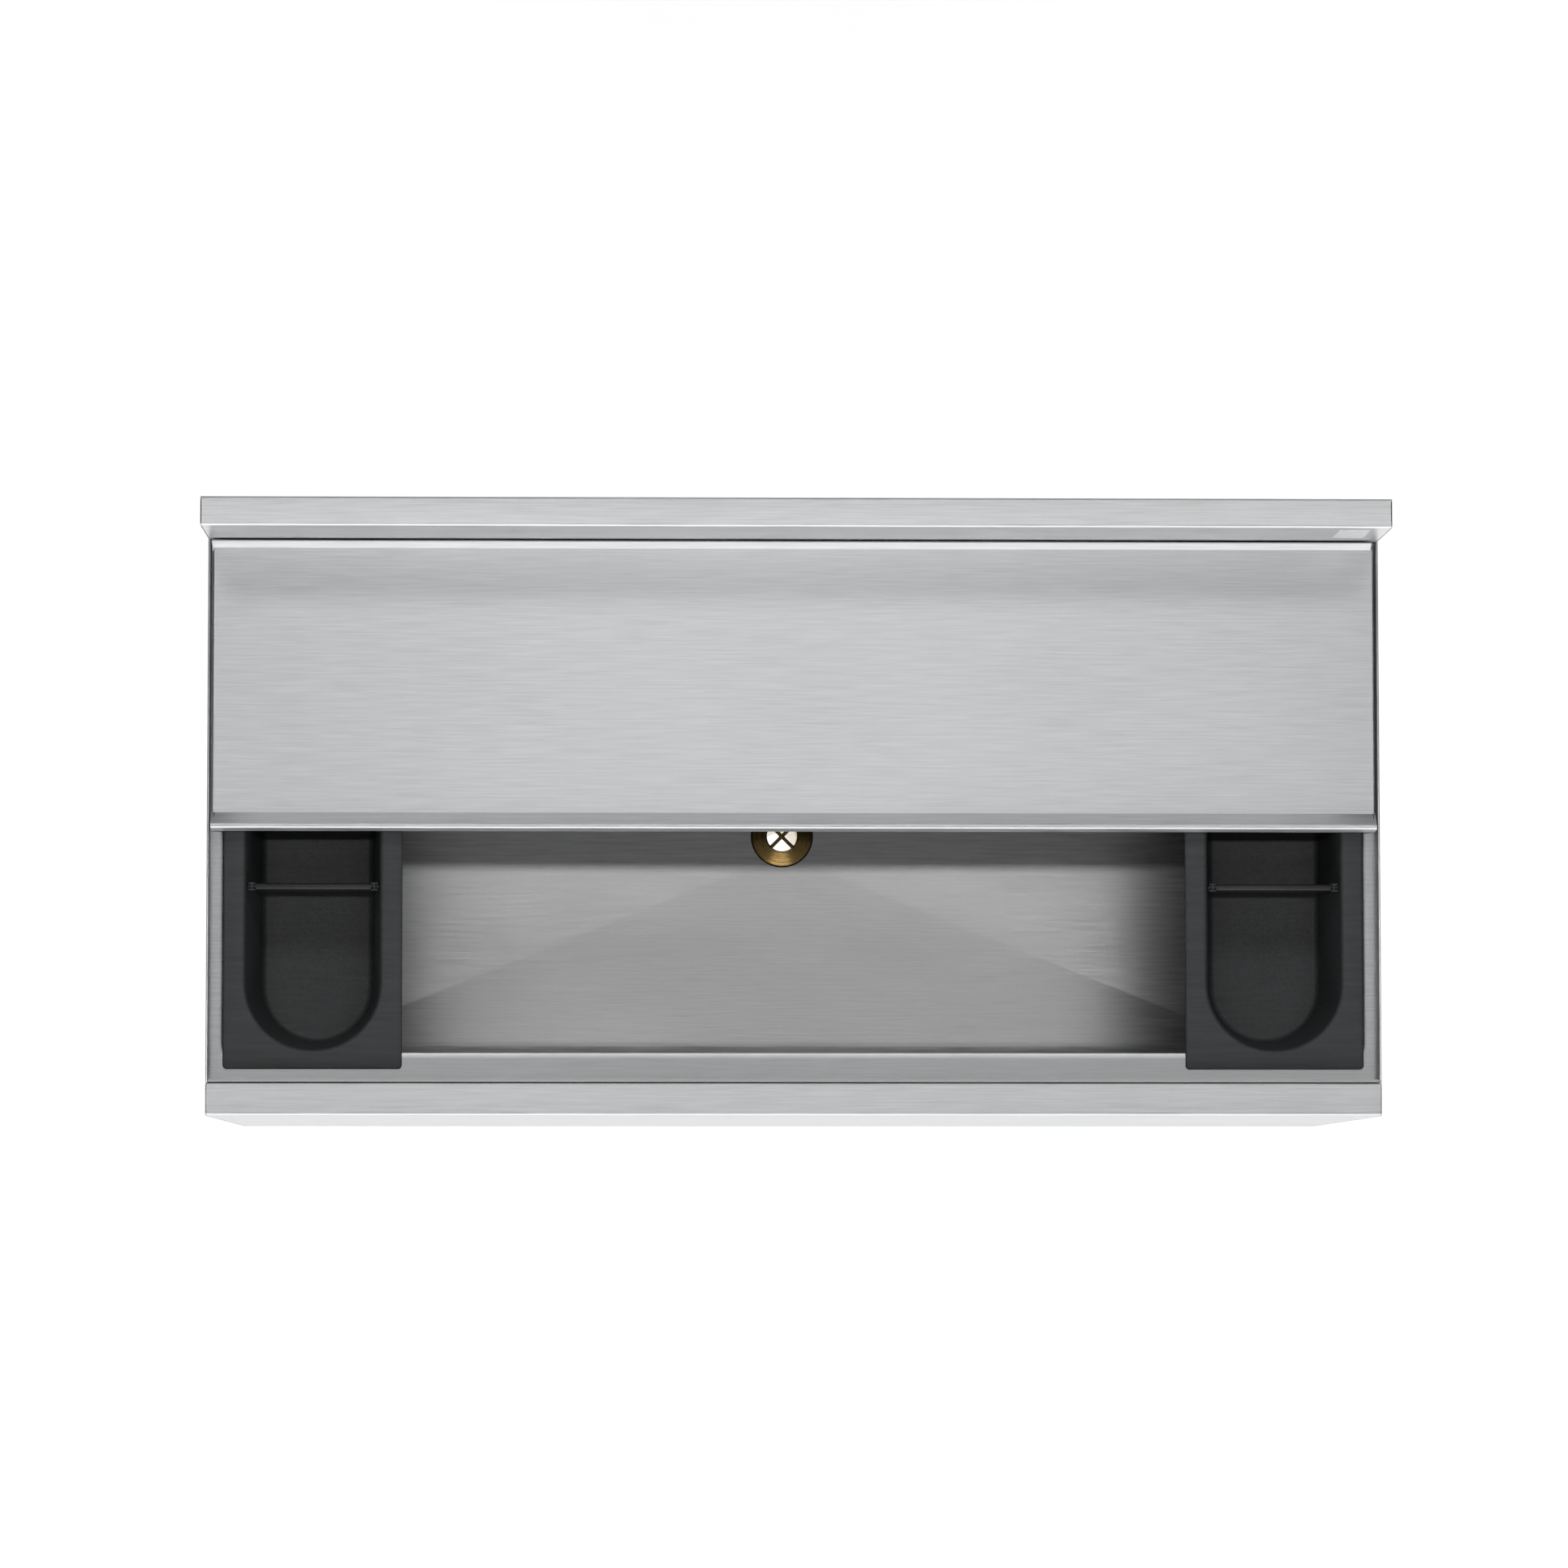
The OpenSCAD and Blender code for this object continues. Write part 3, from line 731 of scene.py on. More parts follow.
@dataclass
class Cabinet:
    """The outer sheet metal: apron, side panels, deck and backsplash."""

    finishes: Finishes
    crown: float = 0.55
    apron_radius: float = 3.0
    seam_radius: float = 1.0
    seam_fold: float = 13.0
    hem: float = 15.0
    end_rim: float = 20.0
    end_plate: float = 1.6
    plate_edge: float = 0.5
    splash_top: float = 838.2
    splash_radius: float = 2.5
    lip: float = 13.0
    lip_turn: float = 21.0
    upstand_foot: float = 5.0
    upstand_face: float = 2.9
    upstand_width: float = 2.05

    def build(self) -> None:
        """Builds and dresses every piece of the cabinet."""
        steel = Dress("cabinet", Slot.OUTER, self.finishes.outer)
        ends = Dress("cabinet", Slot.OUTER, self.finishes.ends)
        self.apron().piece("apron_folded", Dress("cabinet", Slot.OUTER, self.finishes.apron),
                           ["front_apron"])
        for side in Side:
            name = side.name.lower()
            self.side_panel(side).piece(f"{name}_end_panel", ends, [f"{name}_side_panel"])
        self.deck().piece("deck_pressed", Dress("cabinet", Slot.OUTER, self.finishes.deck),
                          ["top_deck"])
        self.backsplash().piece("backsplash_folded", steel, ["backsplash"])

    def rim_line(self) -> np.ndarray:
        """The top of the front rim, from the seam towards the front.

        It lies below the rim's height by crown times the square of twice the share of the
        rim's depth less 0.72, so that it is highest at 0.36 of the depth from the seam.
        """
        share = np.linspace(0.1, 0.86, 9)
        depth = BODY.seam - BODY.front
        sag = self.crown * (2 * share - 0.72) ** 2
        return np.stack([BODY.seam - share * depth, BODY.rim - sag], 1)

    def apron(self) -> Skin:
        """The apron: a sheet folded over the rim, with a plate welded into each end."""
        top = self.rim_line()
        corners = [[BODY.seam, BODY.rim - self.seam_fold], [BODY.seam, BODY.rim - 0.25],
                   *top.tolist(), [BODY.front, BODY.rim - self.crown], [BODY.front, BODY.base],
                   [BODY.front + self.hem, BODY.base]]
        radii = [self.seam_radius] + [0.0] * len(top) + [self.apron_radius, 1.5]
        line = bent(corners, radii)
        side = BODY.half_width - 0.5
        skin = Skin().sheet(line, BODY.sheet, -side, side)
        rim = line[line[:, 1] > BODY.rim - self.end_rim]
        foot = BODY.base + BODY.sheet
        outline = np.concatenate([[[BODY.seam, foot]], rim[rim[:, 0] <= BODY.seam],
                                  [[BODY.front, foot]]])
        apart = np.linalg.norm(np.diff(outline, axis=0, append=outline[:1]), axis=1) > 1e-4
        outline = outline[apart]
        for sign in (-1, 1):
            low, high = sorted((sign * (BODY.half_width - self.end_plate), sign * BODY.half_width))
            skin.plate(outline, low, high, Axis.X, edge=self.plate_edge)
        return skin

    def side_panel(self, side: Side) -> Skin:
        """An end panel with a hemmed top edge, and its plain part behind the splash."""
        outer, s = BODY.half_width, side.value
        inner = outer - 2 * BODY.panel
        hemmed = bent([[outer - self.hem, BODY.base], [outer, BODY.base], [outer, BODY.rim],
                       [inner, BODY.rim], [inner, BODY.ledge]], [1.5, 0.98, 0.98])
        plain = bent([[outer - self.hem, BODY.base], [outer, BODY.base],
                      [outer, BODY.ledge - 0.2]], 1.5)
        skin = Skin()
        for line, thick, low, high in (
                (hemmed, 0.97, BODY.seam + 0.4, BODY.splash - 0.2),
                (plain, BODY.panel, BODY.splash - 0.2, BODY.back - BODY.sheet)):
            skin.sheet(line * [s, 1], thick * s, low, high, Axis.Y)
        return skin

    def deck(self) -> Skin:
        """The deck: a plate with a pressed mouth, and an upstand behind the front rim.

        The plate is a loop of rings: up the inside of the mouth, over its lip, out to the
        edge, and back underneath.
        """
        angle = np.radians(np.linspace(self.lip_turn, 0, 8))
        over = np.stack([self.lip * (np.sin(angle[0]) - np.sin(angle)),
                         BODY.ledge - self.lip * (1 - np.cos(angle))], 1)
        mouth = bent([[0, BODY.liner_top], *over.tolist()], [0.4] + [0.0] * (len(over) - 2))
        inside = moved(mouth, -BODY.sheet)[::-1]
        near = np.concatenate([mouth, inside])
        grown = near[:, 0]
        loop = rings(BODY.mouth_half + grown, BODY.mouth_front - grown,
                     BODY.mouth_back + grown, BODY.mouth_corner + grown, near[:, 1])
        edge = rings(BODY.half_width - BODY.panel, BODY.seam + 0.8, BODY.back - 2.2, 0.5,
                     [BODY.ledge, BODY.ledge - BODY.sheet])
        loops = np.concatenate([loop[:len(mouth)], edge, loop[len(mouth):]])
        foot, face = BODY.seam + self.upstand_foot, BODY.seam + self.upstand_face
        upstand = bent([[foot, BODY.ledge + 0.03], [face, BODY.ledge + 0.03],
                        [face, BODY.rim - 0.9]], 0.5)
        side = BODY.half_width - 2 * BODY.panel
        return (Skin().grid(loops, rows_meet=True, columns_meet=True)
                .sheet(upstand, self.upstand_width, -side, side))

    def backsplash(self) -> Skin:
        """The backsplash: a sheet folded twice, with a foot flange and closed ends."""
        line = bent([[BODY.splash - 1.5, BODY.ledge + 0.1], [BODY.splash, BODY.ledge + 0.1],
                     [BODY.splash, self.splash_top], [BODY.back, self.splash_top],
                     [BODY.back, BODY.ledge - 10]],
                    [0.7, self.splash_radius, self.splash_radius])
        side = BODY.half_width - 0.5
        skin = Skin().sheet(line, -BODY.sheet, -side, side)
        outline = bent([[BODY.splash, BODY.ledge], [BODY.splash, self.splash_top],
                        [BODY.back, self.splash_top], [BODY.back, BODY.ledge]],
                       self.splash_radius)[::-1]
        for sign in (-1, 1):
            low, high = sorted((sign * (BODY.half_width - self.end_plate), sign * BODY.half_width))
            skin.plate(outline, low, high, Axis.X, edge=self.plate_edge)
        return skin


@dataclass
class IceLiner:
    """The liner: straight walls, coves, and a floor that falls on four creases."""

    finishes: Finishes
    floor_edge: float = 444.0
    floor_low: float = 434.0
    cove: float = 22.0
    sump: float = 26.0
    hole: float = 19.2
    crease: float = 1.6

    def build(self) -> None:
        """Builds and dresses the liner."""
        steel = Dress("cabinet", Slot.LINER, self.finishes.liner)
        self.basin().piece("liner_coved", steel, ["ice_liner"], sharp=18)

    def fall(self, wall: float, middle: float) -> np.ndarray:
        """The section of one wall and its floor, from the middle outwards to the top."""
        sign = math.copysign(1, wall - middle)
        return bent([[middle + sign * self.sump, self.floor_low], [wall, self.floor_edge],
                     [wall, BODY.liner_top]], self.cove, steps=14)

    def levels(self, grow: float) -> np.ndarray:
        """Rings of the basin, from the floor's lowest level to the top.

        At a height, the ring's sides are where the three sections reach that height, so the
        floor's creases run where the sections of two walls meet.

        Args:
            grow: How far the rings are moved outwards.

        Returns:
            An array of rings by points by coordinates.
        """
        sections = [moved(self.fall(w, m), grow * turn) for w, m, turn in (
            (BODY.mouth_half, 0.0, -1), (BODY.mouth_front, BODY.drain_y, 1),
            (BODY.mouth_back, BODY.drain_y, -1))]
        low = max(s[0, 1] for s in sections)
        z = np.unique(np.concatenate([s[:, 1] for s in sections] + [[BODY.liner_top]]).round(4))
        z = z[(z >= low) & (z <= BODY.liner_top)]
        reach = [np.interp(z, s[:, 1], s[:, 0]) for s in sections]
        share = np.clip((z - self.floor_edge) / (2 * self.cove), 0, 1)
        corner = self.crease + (BODY.mouth_corner - self.crease) * share
        return rings(reach[0], reach[1], reach[2], corner + grow, z)

    def basin(self) -> Skin:
        """The inside from the drain's hole to the top, and the outside back down."""
        inside, outside = self.levels(0.0), self.levels(BODY.sheet)
        round_hole = rings(self.hole, BODY.drain_y - self.hole, BODY.drain_y + self.hole,
                           self.hole, [self.floor_low, self.floor_low - BODY.sheet])
        loops = np.concatenate([round_hole[:1], inside, outside[::-1], round_hole[1:]])
        return Skin().grid(loops, rows_meet=True, columns_meet=True)


@dataclass
class Covers:
    """The two sliding covers: the upper one with a folded pull, the lower a plain tray."""

    finishes: Finishes
    half: float = 453.7
    lower_half: float = 450.9
    crease: float = -0.5
    fold: float = -12.7
    pull_height: float = 10.0
    skirt: float = -14.7
    skirt_drop: float = 3.8
    mitre: float = 3.4
    rear: float = 206.6
    flange_run: float = 4.2
    flange_height: float = 6.0
    notch: float = 2.6
    lower_front: float = -9.5
    lower_z: float = 752.8
    lower_back: float = 211.0
    lower_lip: float = 4.2

    def build(self) -> None:
        """Builds and dresses both covers."""
        upper = Dress("upper_cover_body", Slot.COVER, self.finishes.cover)
        lower = Dress("lower_cover_body", Slot.COVER, self.finishes.cover)
        self.upper().piece("upper_cover_folded", upper, ["upper_cover"])
        self.lower().piece("lower_cover_folded", lower, ["lower_cover"])

    def upper(self) -> Skin:
        """The panel bent down at its sides, the mitred pull, its gussets, the rear flange."""
        t, rim, half = BODY.sheet, BODY.rim, self.half
        skin = Skin()
        across = bent([[-half, BODY.ledge + 1], [-half, rim], [half, rim],
                       [half, BODY.ledge + 1]], 1.6)
        skin.sheet(across, -t, self.crease, self.rear, Axis.Y)
        pull = bent([[self.skirt, rim - self.skirt_drop],
                     [self.fold - 0.3, rim + self.pull_height + 0.6],
                     [self.crease, rim], [self.crease + 2.5, rim - 0.3]], [2.7, 0.2])
        run = np.clip((self.crease - pull[:, 0]) / (self.crease - self.fold), 0, 1)
        reach = half - self.mitre * (1 - run)
        skin.sheet(pull, -t, -reach, reach)
        under = moved(pull, -0.35)
        under = under[(under[:, 0] < self.crease) & (under[:, 1] > rim)]
        edge = np.concatenate([[[under[0, 0], rim - t]], under, [[self.crease, rim - t]]])
        depth = 1 + (self.mitre - 1) * np.clip((self.crease - edge[:, 0])
                                               / (self.crease - self.fold), 0, 1)
        for s in (-1, 1):
            outer = on_axis(edge, np.full(len(edge), half) * s, Axis.X)
            skin.tube(np.stack([outer, on_axis(edge, (half - depth) * s, Axis.X)]))
        flange = bent([[self.rear - 2.5, rim - 0.3], [self.rear, rim],
                       [self.rear + self.flange_run, rim + self.flange_height]], 0.5)
        skin.sheet(flange, -t, -half, half - np.where(flange[:, 0] > self.rear - 0.4,
                                                      self.notch, 0.0))
        return skin

    def lower(self) -> Skin:
        """A tray with a lip turned up at its front and at its back."""
        z, lip = self.lower_z, self.lower_lip
        line = bent([[self.lower_front + 2.6, z + lip - 0.05], [self.lower_front, z + lip],
                     [self.lower_front, z], [self.lower_back, z],
                     [self.lower_back, z + lip]], [0.4, 1.3, 1.3])
        return Skin().sheet(line[1:], BODY.sheet, -self.lower_half, self.lower_half)


@dataclass
class BottleWell:
    """A moulded well hung in the mouth, with two dividers across it."""

    finishes: Finishes
    side: Side
    x: float = 375.1
    flange_half: float = 69.6
    front: float = -199.7
    back: float = 212.9
    top: float = 752.0
    floor: float = 684.0
    wall_half: float = 52.6
    floor_half: float = 43.4
    wall: float = 2.0
    end_front: float = -132.3
    end_back: float = 145.5
    mouth_radius: float = 3.0
    floor_radius: float = 5.0
    corner: float = 3.2
    flange_run: float = 9.0
    flange_edge: float = 0.9
    divider_ys: tuple[float, float] = (-57.2, 70.4)
    divider_half: float = 0.75

    def build(self) -> None:
        """Builds and dresses the well and its dividers."""
        name = self.side.name.lower()
        plastic = Dress("cabinet", Slot.WELL, self.finishes.well)
        black = Dress("cabinet", Slot.DIVIDER, self.finishes.divider)
        self.shell().piece(f"{name}_well_moulded", plastic, [f"{name}_bottle_well"], sharp=40)
        for y, end, tilt in zip(self.divider_ys, ("front", "rear"), (0.5, 0.0)):
            self.divider(y, tilt).piece(f"{name}_{end}_divider_moulded", black,
                                        [f"{name}_{end}_divider"])

    def shell(self) -> Skin:
        """Rings up the inside, over the mouth and the flange, and down the outside.

        Inside rings have round ends about two fixed points; the flange's rings are a
        rectangle with small corners.
        """
        centre = self.side.value * self.x
        section = bent([[0.02, self.floor], [self.floor_half, self.floor],
                        [self.wall_half, self.top], [self.wall_half + self.flange_run, self.top]],
                       [self.floor_radius, self.mouth_radius], steps=8)
        outside = moved(section, -self.wall)
        outside = outside[outside[:, 0] < self.wall_half + self.wall + 1.5]
        outside[:, 1] = np.minimum(outside[:, 1], BODY.ledge)
        outside[0, 0] = 0.02

        def round_ended(line: np.ndarray) -> np.ndarray:
            """Rings with round ends for each half width and height of a line."""
            half = line[:, 0]
            return rings(half, self.end_front - half, self.end_back + half, half,
                         line[:, 1], centre, steps=14)

        ease = np.linspace(0, math.pi / 2, 5)
        inset = self.flange_edge * (1 - np.sin(ease[::-1]))
        edge_z = self.top - self.flange_edge + self.flange_edge * np.cos(ease[::-1])
        edge = rings(self.flange_half - inset, self.front + inset, self.back - inset,
                     self.corner - inset, edge_z, centre, steps=14)
        below = rings(self.flange_half, self.front, self.back, self.corner, BODY.ledge + 0.02,
                      centre, steps=14)
        loops = np.concatenate([round_ended(section), edge, below,
                                round_ended(outside)[::-1]])
        return Skin().grid(loops, columns_meet=True)

    def half_at(self, z: float) -> float:
        """Half width of the well between its walls at a height."""
        share = (z - self.floor) / (self.top - self.floor)
        return self.floor_half + (self.wall_half - self.floor_half) * share

    def divider(self, y: float, tilt: float) -> Skin:
        """A full-depth plate with a rolled top edge and a clip of H form at each end."""
        x0 = self.side.value * self.x
        low, knee, top = self.floor + 0.5, self.floor + 8.5, self.top - 5.0
        plate = np.array([[-self.floor_half + 9, low], [self.floor_half - 9, low],
                          [self.half_at(knee) - 0.5, knee], [self.half_at(top) - 0.7, top],
                          [-self.half_at(top) + 0.7, top], [-self.half_at(knee) + 0.5, knee]])
        skin = Skin().plate(plate + [x0, 0], y - self.divider_half, y + self.divider_half,
                            Axis.Y, edge=0.2)
        half = self.half_at(top) - 1.0
        angle = np.linspace(0, 2 * math.pi, 20, endpoint=False)
        along = np.array([-half, -half + 1, 0, half - 1, half])
        size = np.array([0.8, 1.0, 1.0, 1.0, 0.8])[:, None]
        bar = np.stack([x0 + along[:, None] + 0 * angle, y + 2.5 * size * np.cos(angle),
                        top + 2.4 * size * np.sin(angle)], -1)
        skin.tube(bar)
        cheek = np.array([[0, -3.2], [5.4, -3.2], [5.4, 3.2], [0, 3.2]])
        for end in (-1, 1):
            lift = tilt * (end > 0)
            foot = x0 + end * (half - 5.9)
            for dy, wide in ((-2.55, 1.1), (2.55, 1.1)):
                outline = cheek * [end, wide / 6.4] + [foot, y + dy]
                outline = outline if end > 0 else outline[::-1]
                skin.plate(outline, top - 3.3, top + 3.3 + lift, Axis.Z, edge=0.4)
            web = cheek * [end * 0.35, 0.8] + [foot + end * 1.6, y]
            skin.plate(web if end > 0 else web[::-1], top - 3.2, top + 2.7, Axis.Z, edge=0.35)
        return skin


@dataclass
class Drain:
    """The brass drain: flange and neck, crossed strainer, fittings and outlet below."""

    finishes: Finishes
    floor: float = 434.0
    bore: float = 12.7
    flange: float = 25.5
    neck: float = 18.95
    neck_end: float = 402.0
    outlet_low: float = 300.0
    outlet_top: float = 345.0
    outlet: float = 16.7
    tail: float = 15.5
    pitch: float = 2.2
    ring_inset: float = 1.4
    ring_rise: float = 3.0
    rim_rise: float = 0.9

    def build(self) -> None:
        """Builds and dresses the drain's pieces."""
        brass = Dress("cabinet", Slot.BRASS, self.finishes.brass)
        rubber = Dress("cabinet", Slot.RUBBER, self.finishes.rubber)
        self.throat().piece("drain_flange_turned", brass, ["drain_flange"])
        self.strainer().piece("drain_strainer_cast", brass, ["drain_strainer"])
        self.outlet_pipe().piece("drain_tailpiece_threaded", brass, ["drain_tailpiece"])
        self.sealant().piece("drain_sealant_bead", rubber)
        for node in ("drain_locknut", "drain_coupling"):
            dress_node(node, self.finishes.brass)
        dress_node("drain_gasket", self.finishes.rubber)
        dress_node("drain_washer", self.finishes.fastener)

    def throat(self) -> Skin:
        """A flange whose face falls from a ring round the bore, on a threaded neck."""
        z, inset = self.floor, self.ring_inset
        upper = bent([[self.bore, self.neck_end], [self.bore, z + 2.4],
                      [self.bore + inset, z + self.ring_rise],
                      [self.flange - inset, z + self.rim_rise],
                      [self.flange, z + 0.5], [self.flange, z],
                      [self.neck, z], [self.neck, z - 4]], [0.5, 0.6, 1.0, 0.2, 0.2, 0.1])
        thread = screw_line(self.neck, z - 16, self.neck_end + 1, self.pitch, 0.7)
        return Skin().lathe(np.concatenate([upper, thread, [[self.neck - 0.8, self.neck_end]]]),
                            0, BODY.drain_y)

    def strainer(self) -> Skin:
        """Two crossed bars and a small hub, let into the throat."""
        skin = Skin()
        z, reach = self.floor - 1.5, self.bore - 0.02
        for turn in (45, 135):
            angle = math.radians(turn)
            spin = np.array([[math.cos(angle), math.sin(angle)],
                             [-math.sin(angle), math.cos(angle)]])
            bar = np.array([[-reach, -1.5], [reach, -1.5], [reach, 1.5], [-reach, 1.5]]) @ spin
            skin.plate(bar + [0, BODY.drain_y], z - 1.5, z + 1.5, Axis.Z, edge=0.5)
        hub = bent([[0.01, z - 1.6], [2.4, z - 1.6], [2.4, z + 1.8], [0.01, z + 1.8]], 0.5)
        skin.grid(turned(hub, 0, BODY.drain_y, 32), columns_meet=True)
        return skin

    def sealant(self) -> Skin:
        """The bead of sealant that squeezes out round the flange."""
        z, edge = self.floor, self.flange
        loop = np.array([[edge - 1, z + 0.02], [edge + 0.75, z + 0.02], [edge + 0.5, z + 0.5],
                         [edge - 1, z + 0.7]])
        return Skin().lathe(loop, 0, BODY.drain_y, 96)

    def outlet_pipe(self) -> Skin:
        """The tailpiece: a plain tube that ends in a threaded outlet."""
        thread = screw_line(self.outlet, self.outlet_top - 3, self.outlet_low + 2, self.pitch, 0.8)
        loop = np.concatenate([[[self.bore, self.outlet_low + 0.5], [self.bore, self.neck_end],
                                [self.tail, self.neck_end], [self.tail, self.outlet_top],
                                [self.outlet, self.outlet_top - 0.6]], thread,
                               [[self.outlet - 1.2, self.outlet_low]]])
        return Skin().lathe(loop, 0, BODY.drain_y, 64)


def screw_line(radius: float, high: float, low: float, pitch: float, depth: float) -> np.ndarray:
    """The side of a threaded pipe, downwards: crests at radius, roots at its depth."""
    count = int((high - low) / pitch)
    z = high - np.arange(2 * count + 1) * pitch / 2
    return np.stack([radius - depth * (np.arange(2 * count + 1) % 2), z], 1)


def dress_node(node: str, material: bpy.types.Material) -> None:
    """Gives a CAD node that stays in view one material."""
    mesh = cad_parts[node].data
    mesh.materials.clear()
    mesh.materials.append(material)
    LOG.info("%s keeps its CAD mesh", node)


@dataclass
class Leg:
    """One leg: a socket under the body, a tube, its plastic insert, and a bullet foot."""

    finishes: Finishes
    corner: str
    x: float
    y: float
    radius: float = 20.65
    wall: float = 1.2
    tube_low: float = 55.0
    tube_top: float = 360.2
    pan: float = 363.2
    socket_low: float = 318.0
    stem: float = 8.0
    stem_top: float = 110.0
    foot_top: float = 51.7

    def build(self) -> None:
        """Builds and dresses the leg's pieces."""
        c, f = self.corner, self.finishes
        self.tube().piece(f"leg_{c}_tube", Dress("cabinet", Slot.LEG, f.leg), [f"leg_{c}"])
        self.socket().piece(f"socket_{c}_cast", Dress("cabinet", Slot.LEG, f.fastener),
                            [f"socket_{c}"])
        self.foot().piece(f"foot_{c}_moulded", Dress(f"foot_{c}_body", Slot.FOOT, f.foot),
                          [f"foot_{c}"])
        dress_node(f"insert_{c}", f.foot)

    def tube(self) -> Skin:
        """A tube with eased ends."""
        r, w = self.radius, self.wall
        loop = np.array([[r - w, self.tube_low], [r - 0.3, self.tube_low],
                         [r, self.tube_low + 0.4], [r, self.tube_top], [r - w, self.tube_top]])
        return Skin().lathe(loop, self.x, self.y)

    def socket(self) -> Skin:
        """A cast cup that flares to a bolted flange."""
        r, z = self.radius, self.pan
        outer = bent([[r + 0.05, self.socket_low], [r + 3.2, self.socket_low],
                      [r + 3.2, self.socket_low + 16], [r + 12, z - 3], [r + 24, z - 3],
                      [r + 24, z], [0.02, z]], [0.8, 8, 3, 1.0, 0.4])
        inner = [[0.02, self.tube_top], [r + 0.05, self.tube_top]]
        return Skin().lathe(np.concatenate([outer, inner]), self.x, self.y)

    def foot(self) -> Skin:
        """A bullet foot with a grip collar and a threaded stem."""
        r = self.radius
        side = bent([[0.02, 0], [13, 0], [r - 2, 24], [r - 2, 40], [r - 1, 42],
                     [r - 1, self.foot_top], [self.stem, self.foot_top]],
                    [2.5, 9, 0.6, 0.6, 1])
        thread = screw_line(self.stem, self.foot_top + 1, self.stem_top - 1, -2.0, 0.6)
        top = [[self.stem - 1, self.stem_top], [0.02, self.stem_top]]
        return Skin().grid(turned(np.concatenate([side, thread, top]), self.x, self.y),
                           columns_meet=True)


@dataclass
class HiddenParts:
    """CAD nodes whose own shape is right: insulation, glides, pans, channels, label."""

    finishes: Finishes

    def build(self) -> None:
        """Dresses the nodes that keep their CAD mesh."""
        f = self.finishes
        dressed = {
            f.base: ["back_panel", "bottom_pan", "left_leg_channel", "right_leg_channel"],
            f.foam: ["foam_front", "foam_rear", "foam_left", "foam_right", "foam_bottom"],
            f.nylon: ["upper_cover_glides", "lower_cover_glides"],
            f.fastener: ["socket_set_screws"],
            f.label: ["blank_label"],
        }
        for material, nodes in dressed.items():
            for node in nodes:
                dress_node(node, material)


# ---------------------------------------------------------------- studio


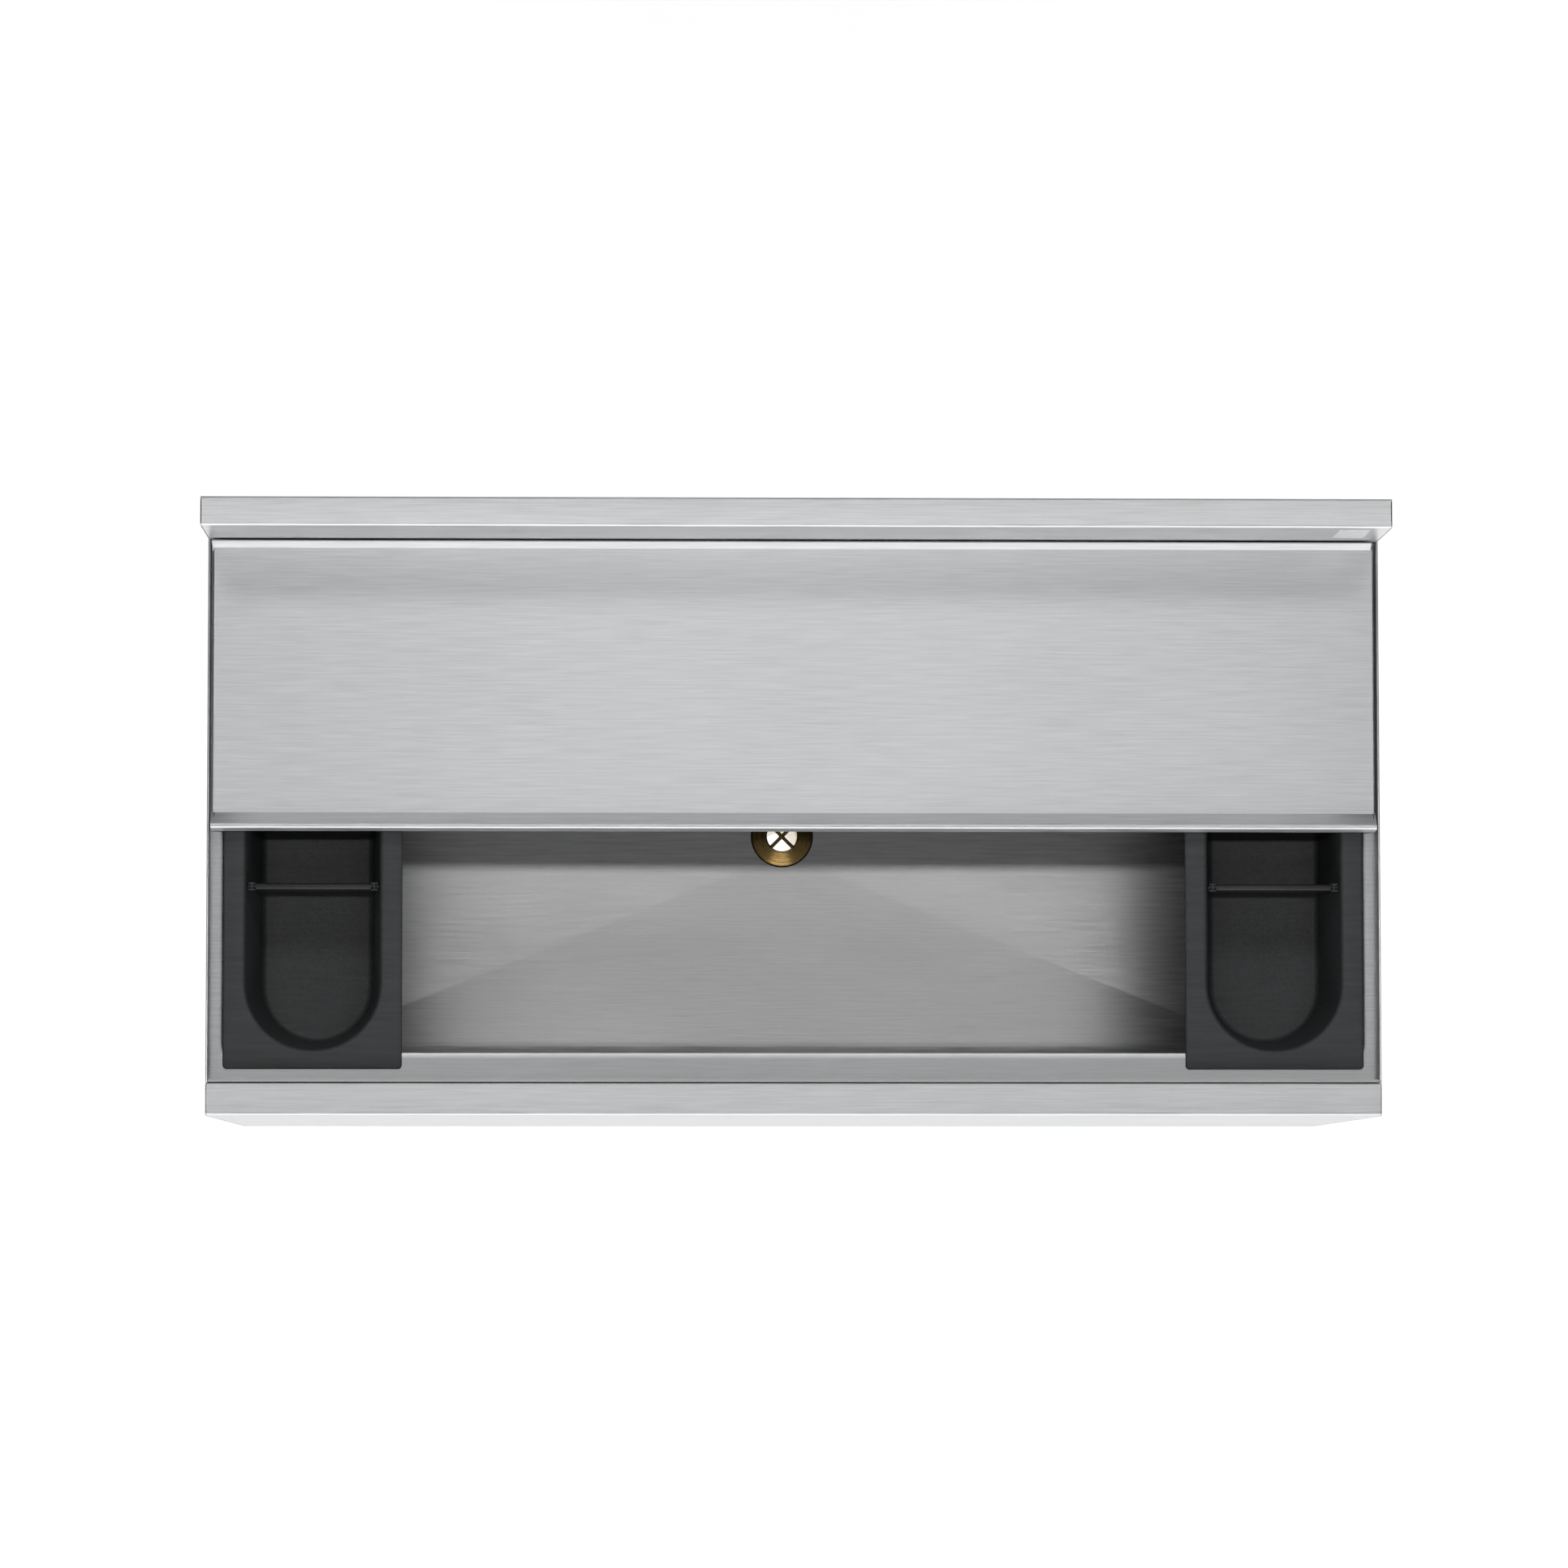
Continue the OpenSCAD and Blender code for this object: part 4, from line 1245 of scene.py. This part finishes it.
@dataclass
class Studio:
    """A pale floor, a weak even glow, four soft lights, and the camera."""

    camera_at: tuple[float, float, float] = (-0.1286, -0.3242, 4.692)
    aim: tuple[float, float, float] = (0.0182, 0.0570, -1.0)
    shift: tuple[float, float] = (0.04, 0.10)
    lens: float = 116.24
    zenith: float = 0.08
    horizon: float = 0.1
    key_at: tuple[float, float, float] = (0.3, 0.15, 10.0)
    key_size: tuple[float, float] = (8.0, 0.25)
    key_watts: float = 122.0
    front_at: tuple[float, float, float] = (0.0, -5.5, 2.6)
    front_size: tuple[float, float] = (7.0, 4.0)
    front_watts: float = 225.0
    glint_at: tuple[float, float, float] = (-0.1, -3.4, 9.0)
    glint_size: tuple[float, float] = (3.0, 0.9)
    glint_watts: float = 17.0
    back_at: tuple[float, float, float] = (0.0, 3.6, 6.0)
    back_size: tuple[float, float] = (6.0, 1.2)
    back_watts: float = 62.0
    floor_half: float = 30.0
    floor_z: float = -0.0005

    def build(self) -> None:
        """Makes the floor, the lights and the camera."""
        self.floor()
        self.world()
        self.light("key", self.key_at, self.key_size, self.key_watts)
        self.light("front_fill", self.front_at, self.front_size, self.front_watts)
        self.light("glint", self.glint_at, self.glint_size, self.glint_watts)
        self.light("back_fill", self.back_at, self.back_size, self.back_watts)
        self.camera()
        bpy.context.scene.view_settings.view_transform = "Standard"

    def floor(self) -> None:
        """A wide pale floor that glows a little, so that no hard shadow lies on it."""
        made, tree = new_material("studio_floor_pale")
        shader = add_node(tree, "ShaderNodeBsdfPrincipled",
                          {"Base Color": linear("FFFFFF"), "Roughness": 0.9,
                           "Emission Color": (1, 1, 1, 1), "Emission Strength": 0.62})
        close_material(tree, shader)
        mesh = bpy.data.meshes.new("studio_floor")
        half, z = self.floor_half, self.floor_z
        mesh.from_pydata([(-half, -half, z), (half, -half, z), (half, half, z),
                          (-half, half, z)], [], [(0, 1, 2, 3)])
        mesh.materials.append(made)
        thing = bpy.data.objects.new("studio_floor", mesh)
        bpy.context.scene.collection.objects.link(thing)

    def world(self) -> None:
        """A weak glow, a little brighter at the horizon than overhead."""
        world = bpy.data.worlds.new("studio_glow")
        bpy.context.scene.world = world
        world.use_nodes = True
        tree = world.node_tree
        tree.nodes.clear()
        way = add_node(tree, "ShaderNodeTexCoord").outputs["Generated"]
        height = add_node(tree, "ShaderNodeSeparateXYZ", links={0: way}).outputs["Z"]
        glow = add_node(tree, "ShaderNodeMapRange",
                        {"From Min": 0.05, "From Max": 0.95, "To Min": self.horizon,
                         "To Max": self.zenith}, {"Value": height}).outputs[0]
        back = add_node(tree, "ShaderNodeBackground", {"Color": (1, 1, 1, 1)},
                        {"Strength": glow})
        add_node(tree, "ShaderNodeOutputWorld", links={"Surface": back.outputs[0]})

    def light(self, name: str, place: Sequence[float], size: Sequence[float],
              watts: float) -> None:
        """A rectangular soft light, turned about the X axis to face the bin's rim.

        Args:
            name: The light's name.
            place: Where it hangs, in metres.
            size: Its width and its other side.
            watts: Its power.
        """
        data = bpy.data.lights.new(name, "AREA")
        data.shape = "RECTANGLE"
        data.size, data.size_y = size
        data.energy = watts
        thing = bpy.data.objects.new(name, data)
        toward = Vector((0, 0, BODY.rim * MM)) - Vector((0, *place[1:]))
        thing.location = place
        thing.rotation_euler = toward.to_track_quat("-Z", "Y").to_euler()
        thing.visible_camera = False
        bpy.context.scene.collection.objects.link(thing)

    def camera(self) -> None:
        """A long lens high above the bin, a little in front of its front edge."""
        lens = bpy.data.cameras.new("camera")
        lens.sensor_width, lens.lens = 36.0, self.lens
        lens.shift_x, lens.shift_y = self.shift
        lens.clip_end = 100
        ahead = np.array(self.aim) / np.linalg.norm(self.aim)
        right = np.cross(ahead, [0, 1, 0])
        right /= np.linalg.norm(right)
        up = np.cross(right, ahead)
        turn = np.eye(4)
        turn[:3, :3] = np.stack([right, up, -ahead], 1)
        turn[:3, 3] = self.camera_at
        thing = bpy.data.objects.new("camera", lens)
        thing.matrix_world = Matrix(turn.tolist())
        bpy.context.scene.collection.objects.link(thing)
        bpy.context.scene.camera = thing


def main() -> None:
    """Builds the bin's sub-assemblies in order, then the studio."""
    logging.basicConfig(level=logging.INFO, format="%(message)s")
    finishes = make_finishes()
    Studio().build()
    Cabinet(finishes).build()
    IceLiner(finishes).build()
    Covers(finishes).build()
    for side in Side:
        BottleWell(finishes, side).build()
    Drain(finishes).build()
    for end, y in (("front", -BODY.leg_y), ("rear", BODY.leg_y)):
        for side in Side:
            corner = f"{end}_{side.name.lower()}"
            Leg(finishes, corner, side.value * BODY.leg_x, y).build()
    HiddenParts(finishes).build()


if __name__ == "__main__":
    main()
